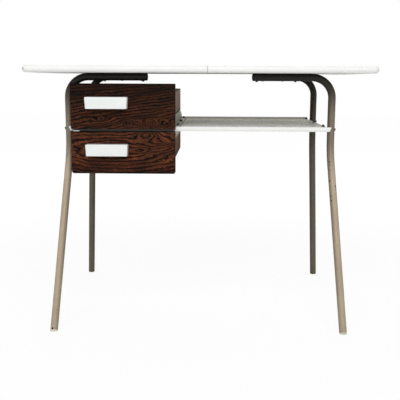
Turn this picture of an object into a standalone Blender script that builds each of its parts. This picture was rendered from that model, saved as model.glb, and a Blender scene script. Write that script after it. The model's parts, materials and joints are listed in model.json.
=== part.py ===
"""Office desk: a laminate top on four bent tube legs, with a sheet steel shelf and two drawers.

Metres, +Z up. The desk faces -Y, and the origin lies on the floor under the middle of the desk.
The upper drawer runs above the shelf and the lower one below it, both on folded runners.
"""

import math

import bmesh
import bpy
from mathutils import Matrix, Quaternion, Vector

# Worktop
TOP_WIDTH = 1.011
TOP_DEPTH = 0.510
TOP_THICKNESS = 0.021
DESK_HEIGHT = 0.760
TOP_CORNER_RADIUS = 0.015
SHEET_THICKNESS = 0.001
BAND_DEPTH = 0.012
BAND_NOSE = 0.010
BAND_SEAM_X = 0.022
BAND_SEAM_WIDTH = 0.0004

# Tube frame
TUBE_RADIUS = 0.011
TUBE_WALL = 0.0015
LEG_END_INSET = 0.1225
LEG_EDGE_INSET = 0.060
KNEE_DROP = 0.072
SPLAY_X = 0.0355
SPLAY_Y = 0.125
SHOULDER_RADIUS = 0.059
KNEE_RADIUS = 0.300
FRONT_TUBE_RUN = 0.2285
REAR_TUBE_RUN = 0.185
FOOT_CUT = 0.004
PLUG_DOME = 0.004
PLUG_SPIGOT = 0.007
GLIDE_SPIGOT = 0.020

# Shelf and the angle rails below its ends
SHELF_SHEET = 0.0012
SHELF_REAR_OVERHANG = 0.051
SHELF_LIP = 0.013
SHELF_ABOVE_SPLIT = 0.0108
SHELF_UPSTAND = 0.006
LIP_SLANT = 0.005
RAIL_SHEET = 0.002
RAIL_FLANGE = 0.020
RAIL_DROP = 0.0105
RAIL_OVERHANG = 0.010
RAIL_REAR_INSET = 0.006
LEG_BOLT_DROP = 0.005
SHELF_BOLT_INSET = 0.0075

# Runners
RUNNER_SHEET = 0.0015
RUNNER_FOOT = 0.0155
RUNNER_TONGUE = 0.007
RUNNER_RISE = 0.0304
RUNNER_FALL = 0.036
RUNNER_REAR_INSET = 0.003
RUNNER_SLANT_RUN = 0.092
RUNNER_SLANT_DROP = 0.016
FRONT_BOLT_INSET = 0.035
REAR_BOLT_INSET = 0.015

# Drawers
FRONT_WIDTH = 0.3035
FRONT_LEG_INSET = 0.0095
FRONT_THICKNESS = 0.0135
FRONT_SPLIT = 0.0066
UPPER_FRONT_HEIGHT = 0.1311
LOWER_FRONT_HEIGHT = 0.1231
FRONT_CORNER = 0.0015
LOWER_FRONT_CORNER = 0.007
BOX_LEFT_INSET = 0.0235
BOX_RIGHT_INSET = 0.0055
BOX_REAR_INSET = 0.025
BOX_WALL = 0.003
BOX_CORNER = 0.012
BOX_FLOAT = 0.004
UPPER_BOX_HEIGHT = 0.100
LOWER_BOX_HEIGHT = 0.085
GROOVE_DEPTH = 0.0065
RIB_THICKNESS = 0.009
RIB_COVER = 0.0025

# Handles
HANDLE_WIDTH = 0.123
HANDLE_HEIGHT = 0.0335
HANDLE_DEPTH = 0.026
HANDLE_TAPER = 0.002
HANDLE_LEFT_INSET = 0.0442
UPPER_HANDLE_DROP = 0.0383
LOWER_HANDLE_DROP = 0.0363
HANDLE_WALL = 0.004
HANDLE_BAR = 0.0105
HANDLE_ROUND = 0.003
HANDLE_SCREW_SPREAD = 0.090

# Screws and bolts
SCREW_RADIUS = 0.0021
SCREW_HEAD_RADIUS = 0.004
SCREW_HEAD_HEIGHT = 0.0026
TOP_SCREW_BITE = 0.011
TOP_SCREW_END_INSET = 0.0100
TOP_SCREW_SHOULDER_INSET = 0.048
BOLT_RADIUS = 0.002
BOLT_HEAD_RADIUS = 0.004
BOLT_HEAD_HEIGHT = 0.0026
BOLT_TAIL = 0.0010
SHELF_BOLT_HEAD_RADIUS = 0.0048
SHELF_BOLT_HEAD_HEIGHT = 0.006
FRONT_SCREW_RADIUS = 0.0016
FRONT_SCREW_HEAD_RADIUS = 0.0035
FRONT_SCREW_HEAD_HEIGHT = 0.002
FRONT_SCREW_BITE = 0.009
FRONT_SCREW_INSET = 0.060
FRONT_SCREW_LOW = 0.018
FRONT_SCREW_HIGH = 0.012
HANDLE_SCREW_BITE = 0.014

# Fits and clearances
SEAT_GAP = 0.0003
HOLE_FIT = 0.0003
PLUG_FIT = 0.0004
PILOT_TIP = 0.001
RUNNER_SIDE_FIT = 0.0013
TONGUE_FIT = 0.0007
SHELF_SIDE_FIT = 0.0023
UPPER_FRONT_TO_TOP = 0.0304
LIP_TO_FRONT = 0.0015
LIP_TO_BOX = 0.002
CUT_OVERSHOOT = 0.005

# Mesh fineness
TUBE_BEVEL_RESOLUTION = 8
SHOULDER_STEPS = 7
KNEE_STEPS = 4
TURN_STEPS = 12
PLUG_STEPS = 20
DOME_STEPS = 3
CORNER_STEPS = 5
NOSE_SEGMENTS = 5
NOSE_ANGLE = math.radians(60)
HANDLE_SEGMENTS = 2
HANDLE_ANGLE = math.radians(30)
PIN_TURN = math.radians(7)
WELD = 0.00001
FLAT_ANGLE = math.radians(0.5)
SMOOTH_ANGLE = math.radians(35)

# Sizes that follow from those above
TOP_UNDERSIDE = DESK_HEIGHT - TOP_THICKNESS
TUBE_HEIGHT = TOP_UNDERSIDE - SEAT_GAP - TUBE_RADIUS
LEG_X = TOP_WIDTH / 2 - LEG_END_INSET
LEG_Y = TOP_DEPTH / 2 - LEG_EDGE_INSET
FRONT_TUBE_END = LEG_X - FRONT_TUBE_RUN
REAR_TUBE_END = LEG_X - REAR_TUBE_RUN
LEG_INNER = LEG_X - TUBE_RADIUS
LEG_FRONT = -LEG_Y - TUBE_RADIUS
UPPER_FRONT_BASE = TOP_UNDERSIDE - UPPER_FRONT_TO_TOP - UPPER_FRONT_HEIGHT
SPLIT_HEIGHT = UPPER_FRONT_BASE - FRONT_SPLIT / 2
LOWER_FRONT_BASE = SPLIT_HEIGHT - FRONT_SPLIT / 2 - LOWER_FRONT_HEIGHT
SHELF_HEIGHT = SPLIT_HEIGHT + SHELF_ABOVE_SPLIT
SHELF_UNDERSIDE = SHELF_HEIGHT - SHELF_SHEET
SHELF_REAR = LEG_Y + SHELF_REAR_OVERHANG
KNEE_HEIGHT = SHELF_HEIGHT - KNEE_DROP
LIP_BACK = LEG_FRONT - SEAT_GAP
LIP_FACE = LIP_BACK - SHELF_SHEET
LIP_BOTTOM = SHELF_HEIGHT - SHELF_LIP
RAIL_OUTER = LEG_INNER - SEAT_GAP
RAIL_TOP = SHELF_UNDERSIDE - SEAT_GAP
RAIL_UNDERSIDE = RAIL_TOP - RAIL_SHEET
RAIL_FRONT = -LEG_Y - RAIL_OVERHANG
RAIL_REAR = SHELF_REAR - RAIL_REAR_INSET
LEG_BOLT_HEIGHT = RAIL_TOP - LEG_BOLT_DROP
FRONT_BACK = LIP_FACE - LIP_TO_FRONT
FRONT_FACE = FRONT_BACK - FRONT_THICKNESS
FRONT_LEFT = -LEG_X + FRONT_LEG_INSET
FRONT_RIGHT = FRONT_LEFT + FRONT_WIDTH
BOX_FRONT = FRONT_BACK + SEAT_GAP
BOX_LEFT = FRONT_LEFT + BOX_LEFT_INSET
BOX_RIGHT = FRONT_RIGHT - BOX_RIGHT_INSET
BOX_MIDDLE = (BOX_LEFT + BOX_RIGHT) / 2
UPPER_BOX_BASE = SHELF_HEIGHT + BOX_FLOAT
LOWER_BOX_BASE = LIP_BOTTOM - LIP_TO_BOX - LOWER_BOX_HEIGHT
RUNNER_FRONT = LIP_BACK + LIP_TO_BOX
RUNNER_REAR = SHELF_REAR - SHELF_SHEET - RUNNER_REAR_INSET
RUNNER_INNER = (BOX_RIGHT - BOX_LEFT) / 2 + RUNNER_SIDE_FIT
BOX_REAR = RUNNER_REAR - BOX_REAR_INSET
UPPER_TONGUE_TOP = SHELF_HEIGHT + SEAT_GAP + RUNNER_RISE
LOWER_TONGUE_TOP = SHELF_UNDERSIDE - SEAT_GAP - RUNNER_FALL + RUNNER_SHEET
RUNNER_BOLT_OFFSET = RUNNER_INNER + RUNNER_SHEET + RUNNER_FOOT / 2
SHELF_BOLT_X = RAIL_OUTER - SHELF_BOLT_INSET
BOLT_FRONT = RAIL_FRONT + FRONT_BOLT_INSET
BOLT_REAR = RAIL_REAR - REAR_BOLT_INSET
BOLT_YS = (BOLT_FRONT, (BOLT_FRONT + BOLT_REAR) / 2, BOLT_REAR)
SPIGOT_RADIUS = TUBE_RADIUS - TUBE_WALL - PLUG_FIT

# Names and directions of the places along X and Y
SIDES = (("left", -1), ("right", 1))
ROWS = (("front", -1), ("rear", 1))
SPOTS = ("front", "middle", "rear")

# Colours: red, green, blue, roughness, metallic
LAMINATE = (0.86, 0.87, 0.85, 0.35, 0.0)
CHIPBOARD = (0.55, 0.40, 0.24, 0.9, 0.0)
BACKING = (0.55, 0.53, 0.48, 0.7, 0.0)
TUBE_PAINT = (0.36, 0.30, 0.22, 0.45, 0.3)
BLACK_PLASTIC = (0.03, 0.03, 0.03, 0.5, 0.0)
CREAM_PLASTIC = (0.78, 0.72, 0.58, 0.5, 0.0)
GREY_PAINT = (0.45, 0.44, 0.42, 0.3, 0.2)
RAIL_PAINT = (0.10, 0.09, 0.08, 0.5, 0.3)
RUNNER_STEEL = (0.42, 0.41, 0.38, 0.35, 0.8)
BLACK_STEEL = (0.02, 0.02, 0.02, 0.4, 0.6)
ZINC_STEEL = (0.55, 0.55, 0.53, 0.35, 0.9)
ROSEWOOD = (0.075, 0.035, 0.020, 0.4, 0.0)
BOX_PLASTIC = (0.17, 0.14, 0.11, 0.55, 0.0)
HANDLE_PLASTIC = (0.87, 0.90, 0.88, 0.35, 0.0)


def remove_old_objects():
    """Empty the scene of objects and of the collections from an earlier run."""
    for old in list(bpy.data.objects):
        bpy.data.objects.remove(old, do_unlink=True)
    for name in ("office_desk", "cutters"):
        if name in bpy.data.collections:
            bpy.data.collections.remove(bpy.data.collections[name])


def new_collection(name):
    """Make a collection in the scene."""
    made = bpy.data.collections.new(name)
    bpy.context.scene.collection.children.link(made)


def finish_as(name, mesh, colour, parent=None):
    """Put a mesh in the desk's collection as a named part with its own material."""
    part = bpy.data.objects.new(name, mesh)
    bpy.data.collections["office_desk"].objects.link(part)
    material = bpy.data.materials.new(name)
    material.use_nodes = True
    shader = material.node_tree.nodes["Principled BSDF"]
    shader.inputs["Base Color"].default_value = (*colour[:3], 1.0)
    shader.inputs["Roughness"].default_value = colour[3]
    shader.inputs["Metallic"].default_value = colour[4]
    mesh.materials.clear()
    mesh.materials.append(material)
    mesh.shade_smooth()
    mesh.set_sharp_from_angle(angle=SMOOTH_ANGLE)
    if parent is not None:
        part.parent = parent
        part.matrix_parent_inverse = parent.matrix_world.inverted()
    return part


def as_cutter(name, mesh):
    """Put a mesh in the cutters' collection, hidden from renders."""
    cutter = bpy.data.objects.new(name, mesh)
    bpy.data.collections["cutters"].objects.link(cutter)
    cutter.hide_render = True
    cutter.display_type = "WIRE"
    return cutter


def boolean(part, cutter, operation="DIFFERENCE"):
    """Add an exact Boolean to a part."""
    step = part.modifiers.new(cutter.name, "BOOLEAN")
    step.operation = operation
    step.solver = "EXACT"
    step.object = cutter


def baked(source, name):
    """Mesh of an object as evaluated, welded, with flat faces whole; the object is removed."""
    bpy.context.scene.collection.objects.link(source)
    graph = bpy.context.evaluated_depsgraph_get()
    mesh = bpy.data.meshes.new_from_object(source.evaluated_get(graph), depsgraph=graph)
    mesh.name = name
    bpy.data.objects.remove(source, do_unlink=True)
    work = bmesh.new()
    work.from_mesh(mesh)
    bmesh.ops.remove_doubles(work, verts=work.verts, dist=WELD)
    bmesh.ops.dissolve_limit(work, angle_limit=FLAT_ANGLE, verts=work.verts, edges=work.edges)
    work.to_mesh(mesh)
    work.free()
    return mesh


def block(name, low, high):
    """Mesh of a box between two corners."""
    low, high = Vector(low), Vector(high)
    size = high - low
    work = bmesh.new()
    place = Matrix.Translation((low + high) / 2) @ Matrix.Diagonal((*size, 1.0))
    bmesh.ops.create_cube(work, size=1.0, matrix=place)
    mesh = bpy.data.meshes.new(name)
    work.to_mesh(mesh)
    work.free()
    return mesh


def pins(name, ends, radius):
    """Mesh of separate round pins, each between two points."""
    work = bmesh.new()
    for start, end in ends:
        start, end = Vector(start), Vector(end)
        place = place_along((start + end) / 2, end - start) @ Matrix.Rotation(PIN_TURN, 4, "Z")
        bmesh.ops.create_cone(work, cap_ends=True, segments=TURN_STEPS, radius1=radius, radius2=radius,
                              depth=(end - start).length, matrix=place)
    mesh = bpy.data.meshes.new(name)
    work.to_mesh(mesh)
    work.free()
    return mesh


def turned(name, profile, steps):
    """Mesh of a solid turned about Z from (radius, height) points that run down its outer side."""
    line = bpy.data.meshes.new(name)
    points = [(radius, 0.0, height) for radius, height in profile]
    line.from_pydata(points, [(i, i + 1) for i in range(len(points) - 1)], [])
    source = bpy.data.objects.new(name, line)
    screw = source.modifiers.new("turn", "SCREW")
    screw.angle = math.tau
    screw.steps = steps
    screw.render_steps = steps
    screw.use_merge_vertices = True
    screw.merge_threshold = WELD
    return baked(source, name)


def dome(radius, height):
    """Profile of a quarter ellipse from its top on the axis to its rim."""
    turns = [i / DOME_STEPS * math.pi / 2 for i in range(DOME_STEPS + 1)]
    return [(radius * math.sin(turn), height * math.cos(turn)) for turn in turns]


def place_along(point, direction):
    """Placement that takes +Z to a direction at a point."""
    turn = Vector(direction).to_track_quat("Z", "Y").to_matrix().to_4x4()
    return Matrix.Translation(point) @ turn


def fasten(name, place, head_radius, head_height, shank_radius, shank_length, colour, parent=None):
    """Domed screw or bolt at a place: its head on the place's +Z side, its shank on the other."""
    profile = dome(head_radius, head_height)
    profile += [(shank_radius, 0.0), (shank_radius, -shank_length), (0.0, -shank_length)]
    part = finish_as(name, turned(name, profile, TURN_STEPS), colour, parent)
    part.matrix_world = place


def rounded_outline(low, high, radii):
    """Outline of a rectangle, anticlockwise from its lower left corner, with a radius for each corner."""
    corners = ((low[0], low[1]), (high[0], low[1]), (high[0], high[1]), (low[0], high[1]))
    towards = ((1, 1), (-1, 1), (-1, -1), (1, -1))
    outline = []
    for turn, (corner, side, radius) in enumerate(zip(corners, towards, radii)):
        centre = (corner[0] + side[0] * radius, corner[1] + side[1] * radius)
        steps = CORNER_STEPS if radius > 0 else 0
        for step in range(steps + 1):
            angle = math.pi + turn * math.pi / 2 + (step / steps * math.pi / 2 if steps else 0)
            outline.append((centre[0] + radius * math.cos(angle), centre[1] + radius * math.sin(angle)))
    return outline


def plate(name, outline, low, high, along="Z"):
    """Mesh of a flat outline thickened from low to high along Z (outline in X, Y) or Y (outline in X, Z)."""
    curve = bpy.data.curves.new(name, "CURVE")
    curve.dimensions = "2D"
    curve.fill_mode = "BOTH"
    curve.extrude = (high - low) / 2
    spline = curve.splines.new("POLY")
    spline.points.add(len(outline) - 1)
    for point, (across, up) in zip(spline.points, outline):
        point.co = (across, up, 0.0, 1.0)
    spline.use_cyclic_u = True
    mesh = baked(bpy.data.objects.new(name, curve), name)
    bpy.data.curves.remove(curve)
    middle = (low + high) / 2
    if along == "Y":
        mesh.transform(Matrix.Translation((0, middle, 0)) @ Matrix.Rotation(math.pi / 2, 4, "X"))
    else:
        mesh.transform(Matrix.Translation((0, 0, middle)))
    return mesh


def bevel(part, width, segments, angle):
    """Round the edges of a part that are sharper than an angle."""
    step = part.modifiers.new("round", "BEVEL")
    step.width = width
    step.segments = segments
    step.limit_method = "ANGLE"
    step.angle_limit = angle


def fillet(before, corner, after, radius, steps):
    """Points of an arc of a radius that rounds the corner between two straight runs."""
    back = (before - corner).normalized()
    ahead = (after - corner).normalized()
    half = back.angle(ahead) / 2
    centre = corner + (back + ahead).normalized() * radius / math.sin(half)
    first = corner + back * radius / math.tan(half) - centre
    last = corner + ahead * radius / math.tan(half) - centre
    axis = first.cross(last)
    sweep = math.pi - 2 * half
    return [centre + Quaternion(axis, sweep * i / steps) @ first for i in range(steps + 1)]


def leg_line(side, row):
    """Centre line of a leg, from its inner end under the top, round the shoulder and knee, to the foot."""
    inner = FRONT_TUBE_END if row < 0 else REAR_TUBE_END
    start = Vector((side * inner, row * LEG_Y, TUBE_HEIGHT))
    shoulder = Vector((side * LEG_X, row * LEG_Y, TUBE_HEIGHT))
    knee = Vector((side * LEG_X, row * LEG_Y, KNEE_HEIGHT))
    floor = Vector((side * (LEG_X + SPLAY_X), row * (LEG_Y + SPLAY_Y), 0.0))
    rise = knee - floor
    end = floor + rise * (FOOT_CUT / rise.z)
    line = [start]
    line += fillet(start, shoulder, knee, SHOULDER_RADIUS, SHOULDER_STEPS)
    line += fillet(shoulder, knee, end, KNEE_RADIUS, KNEE_STEPS)
    return line + [end]


def tube_surface(name, line):
    """Mesh of an open round tube surface along a line."""
    curve = bpy.data.curves.new(name, "CURVE")
    curve.dimensions = "3D"
    curve.bevel_depth = TUBE_RADIUS
    curve.bevel_resolution = TUBE_BEVEL_RESOLUTION
    spline = curve.splines.new("POLY")
    spline.points.add(len(line) - 1)
    for point, place in zip(spline.points, line):
        point.co = (*place, 1.0)
    mesh = baked(bpy.data.objects.new(name, curve), name)
    bpy.data.curves.remove(curve)
    return mesh


def top_screw_xs(row):
    """Distances from the middle of the two screws in each horizontal tube of a row."""
    inner = (FRONT_TUBE_END if row < 0 else REAR_TUBE_END) + TOP_SCREW_END_INSET
    outer = LEG_X - SHOULDER_RADIUS - TOP_SCREW_SHOULDER_INSET
    return (("inner", inner), ("outer", outer))


def top_screw_points():
    """Names and points on the tubes' undersides of the screws into the top."""
    seat = TUBE_HEIGHT - TUBE_RADIUS - SEAT_GAP
    return [("_".join((row_name, side_name, spot)), Vector((side * x, row * LEG_Y, seat)))
            for row_name, row in ROWS for side_name, side in SIDES for spot, x in top_screw_xs(row)]


def make_top():
    """Core with a sheet on each face and a bullnosed band round its edge."""
    half_x, half_y = TOP_WIDTH / 2, TOP_DEPTH / 2
    slab = rounded_outline((-half_x, -half_y), (half_x, half_y), [TOP_CORNER_RADIUS] * 4)
    band = finish_as("edge_band", plate("edge_band", slab, TOP_UNDERSIDE, DESK_HEIGHT), LAMINATE)
    nose = min(BAND_NOSE, (TOP_THICKNESS - SHEET_THICKNESS) / 2)
    bevel(band, nose, NOSE_SEGMENTS, NOSE_ANGLE)

    inner_x, inner_y = half_x - BAND_DEPTH, half_y - BAND_DEPTH
    inner_radius = max(TOP_CORNER_RADIUS - BAND_DEPTH, 0.0)
    room = rounded_outline((-inner_x, -inner_y), (inner_x, inner_y), [inner_radius] * 4)
    room_mesh = plate("band_room", room, TOP_UNDERSIDE - CUT_OVERSHOOT, DESK_HEIGHT + CUT_OVERSHOOT)
    boolean(band, as_cutter("band_room", room_mesh))
    seam_low = (BAND_SEAM_X - BAND_SEAM_WIDTH / 2, -half_y - CUT_OVERSHOOT, TOP_UNDERSIDE - CUT_OVERSHOOT)
    seam_high = (BAND_SEAM_X + BAND_SEAM_WIDTH / 2, -inner_y + CUT_OVERSHOOT, DESK_HEIGHT + CUT_OVERSHOOT)
    boolean(band, as_cutter("band_seam", block("band_seam", seam_low, seam_high)))

    fill_x, fill_y = inner_x - SEAT_GAP, inner_y - SEAT_GAP
    fill = rounded_outline((-fill_x, -fill_y), (fill_x, fill_y), [inner_radius] * 4)
    laminate_base = DESK_HEIGHT - SHEET_THICKNESS
    backing_top = TOP_UNDERSIDE + SHEET_THICKNESS
    finish_as("top_laminate", plate("top_laminate", fill, laminate_base, DESK_HEIGHT), LAMINATE)
    backing = finish_as("top_backing", plate("top_backing", fill, TOP_UNDERSIDE, backing_top), BACKING)
    core_base, core_top = backing_top + SEAT_GAP, laminate_base - SEAT_GAP
    core = finish_as("top_core", plate("top_core", fill, core_base, core_top), CHIPBOARD)

    pilot_top = core_base + TOP_SCREW_BITE + PILOT_TIP
    points = top_screw_points()
    ends = [((p.x, p.y, TOP_UNDERSIDE - CUT_OVERSHOOT), (p.x, p.y, pilot_top)) for _, p in points]
    holes = as_cutter("top_screw_holes", pins("top_screw_holes", ends, SCREW_RADIUS + HOLE_FIT))
    boolean(backing, holes)
    boolean(core, holes)
    for spot, point in points:
        fasten("top_screw_" + spot, place_along(point, (0, 0, -1)), SCREW_HEAD_RADIUS, SCREW_HEAD_HEIGHT,
               SCREW_RADIUS, core_base + TOP_SCREW_BITE - point.z, BLACK_STEEL)


def make_legs():
    """Four bent tubes with plugs in their inner ends, glides in their feet and bolts to the side rails."""
    points = top_screw_points()
    above = TOP_UNDERSIDE + CUT_OVERSHOOT
    ends = [((p.x, p.y, p.z - CUT_OVERSHOOT), (p.x, p.y, above)) for _, p in points]
    screw_holes = as_cutter("tube_screw_holes", pins("tube_screw_holes", ends, SCREW_RADIUS + HOLE_FIT))
    reach = LEG_X + TUBE_RADIUS + CUT_OVERSHOOT
    ends = [((side * (RAIL_OUTER - RAIL_SHEET - CUT_OVERSHOOT), row * LEG_Y, LEG_BOLT_HEIGHT),
             (side * reach, row * LEG_Y, LEG_BOLT_HEIGHT)) for _, row in ROWS for _, side in SIDES]
    bolt_holes = as_cutter("leg_bolt_holes", pins("leg_bolt_holes", ends, BOLT_RADIUS + HOLE_FIT))
    wide = LEG_X + SPLAY_X + 2 * TUBE_RADIUS
    deep = LEG_Y + SPLAY_Y + 2 * TUBE_RADIUS
    ground = as_cutter("ground", block("ground", (-wide, -deep, -wide), (wide, deep, 0.0)))

    for row_name, row in ROWS:
        for side_name, side in SIDES:
            corner = row_name + "_" + side_name
            line = leg_line(side, row)
            leg = finish_as("leg_" + corner, tube_surface("leg_" + corner, line), TUBE_PAINT)
            wall = leg.modifiers.new("wall", "SOLIDIFY")
            wall.thickness = TUBE_WALL
            wall.offset = -1.0
            wall.use_even_offset = True
            boolean(leg, screw_holes)
            boolean(leg, bolt_holes)

            profile = [(r, z + SEAT_GAP) for r, z in dome(TUBE_RADIUS, PLUG_DOME)]
            profile += [(SPIGOT_RADIUS, SEAT_GAP), (SPIGOT_RADIUS, -PLUG_SPIGOT), (0.0, -PLUG_SPIGOT)]
            plug = turned("tube_plug_" + corner, profile, PLUG_STEPS)
            plug.transform(place_along(line[0], (-side, 0, 0)))
            finish_as("tube_plug_" + corner, plug, BLACK_PLASTIC)

            below = FOOT_CUT + 2 * TUBE_RADIUS
            profile = [(0.0, below), (TUBE_RADIUS, below), (TUBE_RADIUS, SEAT_GAP)]
            profile += [(SPIGOT_RADIUS, SEAT_GAP), (SPIGOT_RADIUS, -GLIDE_SPIGOT), (0.0, -GLIDE_SPIGOT)]
            glide = turned("foot_glide_" + corner, profile, PLUG_STEPS)
            glide.transform(place_along(line[-1], line[-1] - line[-2]))
            boolean(finish_as("foot_glide_" + corner, glide, CREAM_PLASTIC), ground)

            seat = Vector((side * (LEG_X + TUBE_RADIUS + SEAT_GAP), row * LEG_Y, LEG_BOLT_HEIGHT))
            length = abs(seat.x) - RAIL_OUTER + RAIL_SHEET + BOLT_TAIL
            fasten("leg_bolt_" + corner, place_along(seat, (side, 0, 0)), BOLT_HEAD_RADIUS, BOLT_HEAD_HEIGHT,
                   BOLT_RADIUS, length, BLACK_STEEL)
    return bolt_holes


def runner_screws():
    """Names, places and lowest sheet faces of the runners' screws; the left ones also hold the rail."""
    sheets = {"left": RAIL_UNDERSIDE, "right": SHELF_UNDERSIDE}
    return [(side_name + "_" + spot, BOX_MIDDLE + side * RUNNER_BOLT_OFFSET, y,
             sheets[side_name] - SEAT_GAP - RUNNER_SHEET)
            for side_name, side in SIDES for spot, y in zip(SPOTS, BOLT_YS)]


def make_shelf(leg_bolt_holes):
    """Folded sheet shelf with a front lip and a rear upstand, on an angle rail at each end."""
    half = RAIL_OUTER + SEAT_GAP - SHELF_SIDE_FIT
    pan_mesh = block("shelf_pan", (-half, LIP_FACE, SHELF_UNDERSIDE), (half, SHELF_REAR, SHELF_HEIGHT))
    pan = finish_as("shelf_pan", pan_mesh, GREY_PAINT)
    lip_outline = [(-LEG_X, SHELF_HEIGHT), (-LEG_X + LIP_SLANT, LIP_BOTTOM), (LEG_X - LIP_SLANT, LIP_BOTTOM),
                   (LEG_X, SHELF_HEIGHT)]
    boolean(pan, as_cutter("lip_fold", plate("lip_fold", lip_outline, LIP_FACE, LIP_BACK, "Y")), "UNION")
    fold = block("rear_fold", (-half, SHELF_REAR - SHELF_SHEET, SHELF_UNDERSIDE),
                 (half, SHELF_REAR, SHELF_HEIGHT + SHELF_UPSTAND))
    boolean(pan, as_cutter("rear_fold", fold), "UNION")

    top, bottom = SHELF_HEIGHT + CUT_OVERSHOOT, RAIL_UNDERSIDE - CUT_OVERSHOOT
    spots = [(SHELF_BOLT_X, y) for y in BOLT_YS] + [(x, y) for _, x, y, _ in runner_screws()]
    ends = [((x, y, bottom), (x, y, top)) for x, y in spots]
    holes = as_cutter("shelf_holes", pins("shelf_holes", ends, BOLT_RADIUS + HOLE_FIT))
    boolean(pan, holes)

    for side_name, side in SIDES:
        inner = RAIL_OUTER - RAIL_SHEET
        angle = [(RAIL_OUTER, RAIL_TOP), (RAIL_OUTER, RAIL_TOP - RAIL_DROP), (inner, RAIL_TOP - RAIL_DROP),
                 (inner, RAIL_UNDERSIDE), (RAIL_OUTER - RAIL_FLANGE, RAIL_UNDERSIDE),
                 (RAIL_OUTER - RAIL_FLANGE, RAIL_TOP)]
        outline = [(side * x, z) for x, z in angle]
        name = "side_rail_" + side_name
        rail = finish_as(name, plate(name, outline, RAIL_FRONT, RAIL_REAR, "Y"), RAIL_PAINT)
        boolean(rail, holes)
        boolean(rail, leg_bolt_holes)

    seat = SHELF_HEIGHT + SEAT_GAP
    for spot, y in zip(SPOTS, BOLT_YS):
        fasten("shelf_screw_" + spot, Matrix.Translation((SHELF_BOLT_X, y, seat)), SHELF_BOLT_HEAD_RADIUS,
               SHELF_BOLT_HEAD_HEIGHT, BOLT_RADIUS, seat - RAIL_UNDERSIDE + BOLT_TAIL, BLACK_STEEL)


def make_runners():
    """Four folded runners: a foot bolted to the shelf, a web and a tongue turned in towards the drawer.

    The upper ones are cut off at a slant at their rear ends.
    """
    shelf_faces = {
        "upper": (SHELF_HEIGHT + SEAT_GAP,) * 2,
        "lower": (RAIL_UNDERSIDE - SEAT_GAP, SHELF_UNDERSIDE - SEAT_GAP),
    }
    tongue_faces = {"upper": UPPER_TONGUE_TOP, "lower": LOWER_TONGUE_TOP - RUNNER_SHEET}
    screws = runner_screws()
    ends = [((x, y, z - CUT_OVERSHOOT), (x, y, SHELF_HEIGHT + CUT_OVERSHOOT)) for _, x, y, z in screws]
    holes = as_cutter("runner_holes", pins("runner_holes", ends, BOLT_RADIUS + HOLE_FIT))
    slant_mesh = block("runner_slant", (-LEG_X, 0.0, 0.0), (LEG_X, 2 * RUNNER_SLANT_RUN, 2 * RUNNER_RISE))
    slope = Matrix.Rotation(-math.atan2(RUNNER_SLANT_DROP, RUNNER_SLANT_RUN), 4, "X")
    slant_mesh.transform(Matrix.Translation((0, RUNNER_REAR - RUNNER_SLANT_RUN, UPPER_TONGUE_TOP)) @ slope)
    slant = as_cutter("runner_slant", slant_mesh)
    for level, up in (("upper", 1), ("lower", -1)):
        for (side_name, side), foot in zip(SIDES, shelf_faces[level]):
            inner, outer = RUNNER_INNER, RUNNER_INNER + RUNNER_SHEET
            tip, toe = inner - RUNNER_TONGUE, outer + RUNNER_FOOT
            tongue, sheet = tongue_faces[level], up * RUNNER_SHEET
            section = [(toe, foot), (toe, foot + sheet), (outer, foot + sheet), (outer, tongue),
                       (tip, tongue), (tip, tongue - sheet), (inner, tongue - sheet), (inner, foot)]
            outline = [(BOX_MIDDLE + side * x, z) for x, z in section]
            name = level + "_runner_" + side_name
            runner = finish_as(name, plate(name, outline, RUNNER_FRONT, RUNNER_REAR, "Y"), RUNNER_STEEL)
            boolean(runner, holes)
            if level == "upper":
                boolean(runner, slant)

    seat = SHELF_HEIGHT + 2 * SEAT_GAP + RUNNER_SHEET
    for spot, x, y, foot in screws:
        fasten("runner_screw_" + spot, Matrix.Translation((x, y, seat)), SHELF_BOLT_HEAD_RADIUS,
               SHELF_BOLT_HEAD_HEIGHT, BOLT_RADIUS, seat - foot + BOLT_TAIL, BLACK_STEEL)


def make_box(node, slide, base, top, tongue_top):
    """Moulded tray, open above, with a groove for a runner's tongue in a rib along each side."""
    plan = rounded_outline((BOX_LEFT, BOX_FRONT), (BOX_RIGHT, BOX_REAR), [0.0, 0.0, BOX_CORNER, BOX_CORNER])
    box = finish_as(node + "box", plate(node + "box", plan, base, top), BOX_PLASTIC, slide)
    low = (BOX_LEFT + BOX_WALL, BOX_FRONT + BOX_WALL)
    high = (BOX_RIGHT - BOX_WALL, BOX_REAR - BOX_WALL)
    radius = BOX_CORNER - BOX_WALL
    room_plan = rounded_outline(low, high, [0.0, 0.0, radius, radius])
    room_mesh = plate(node + "room", room_plan, base + BOX_WALL, top + CUT_OVERSHOOT)
    room = as_cutter(node + "room", room_mesh)
    groove_top = tongue_top + SEAT_GAP
    groove_base = tongue_top - RUNNER_SHEET - TONGUE_FIT
    slots = []
    for side_name, edge, inward in (("left", BOX_LEFT, 1), ("right", BOX_RIGHT, -1)):
        rib_x = sorted((edge - inward * CUT_OVERSHOOT, edge + inward * RIB_THICKNESS))
        rib_low = (rib_x[0], BOX_FRONT - CUT_OVERSHOOT, groove_base - RIB_COVER)
        rib_high = (rib_x[1], BOX_REAR + CUT_OVERSHOOT, groove_top + RIB_COVER)
        rib = node + "rib_" + side_name
        boolean(room, as_cutter(rib, block(rib, rib_low, rib_high)))
        slot_x = sorted((edge - inward * CUT_OVERSHOOT, edge + inward * GROOVE_DEPTH))
        slot_low = (slot_x[0], RUNNER_FRONT - TONGUE_FIT, groove_base)
        slot_high = (slot_x[1], BOX_REAR + CUT_OVERSHOOT, groove_top)
        slot = node + "groove_" + side_name
        slots.append(as_cutter(slot, block(slot, slot_low, slot_high)))
    for cutter in (room, *slots):
        boolean(box, cutter)
    return box


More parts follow.
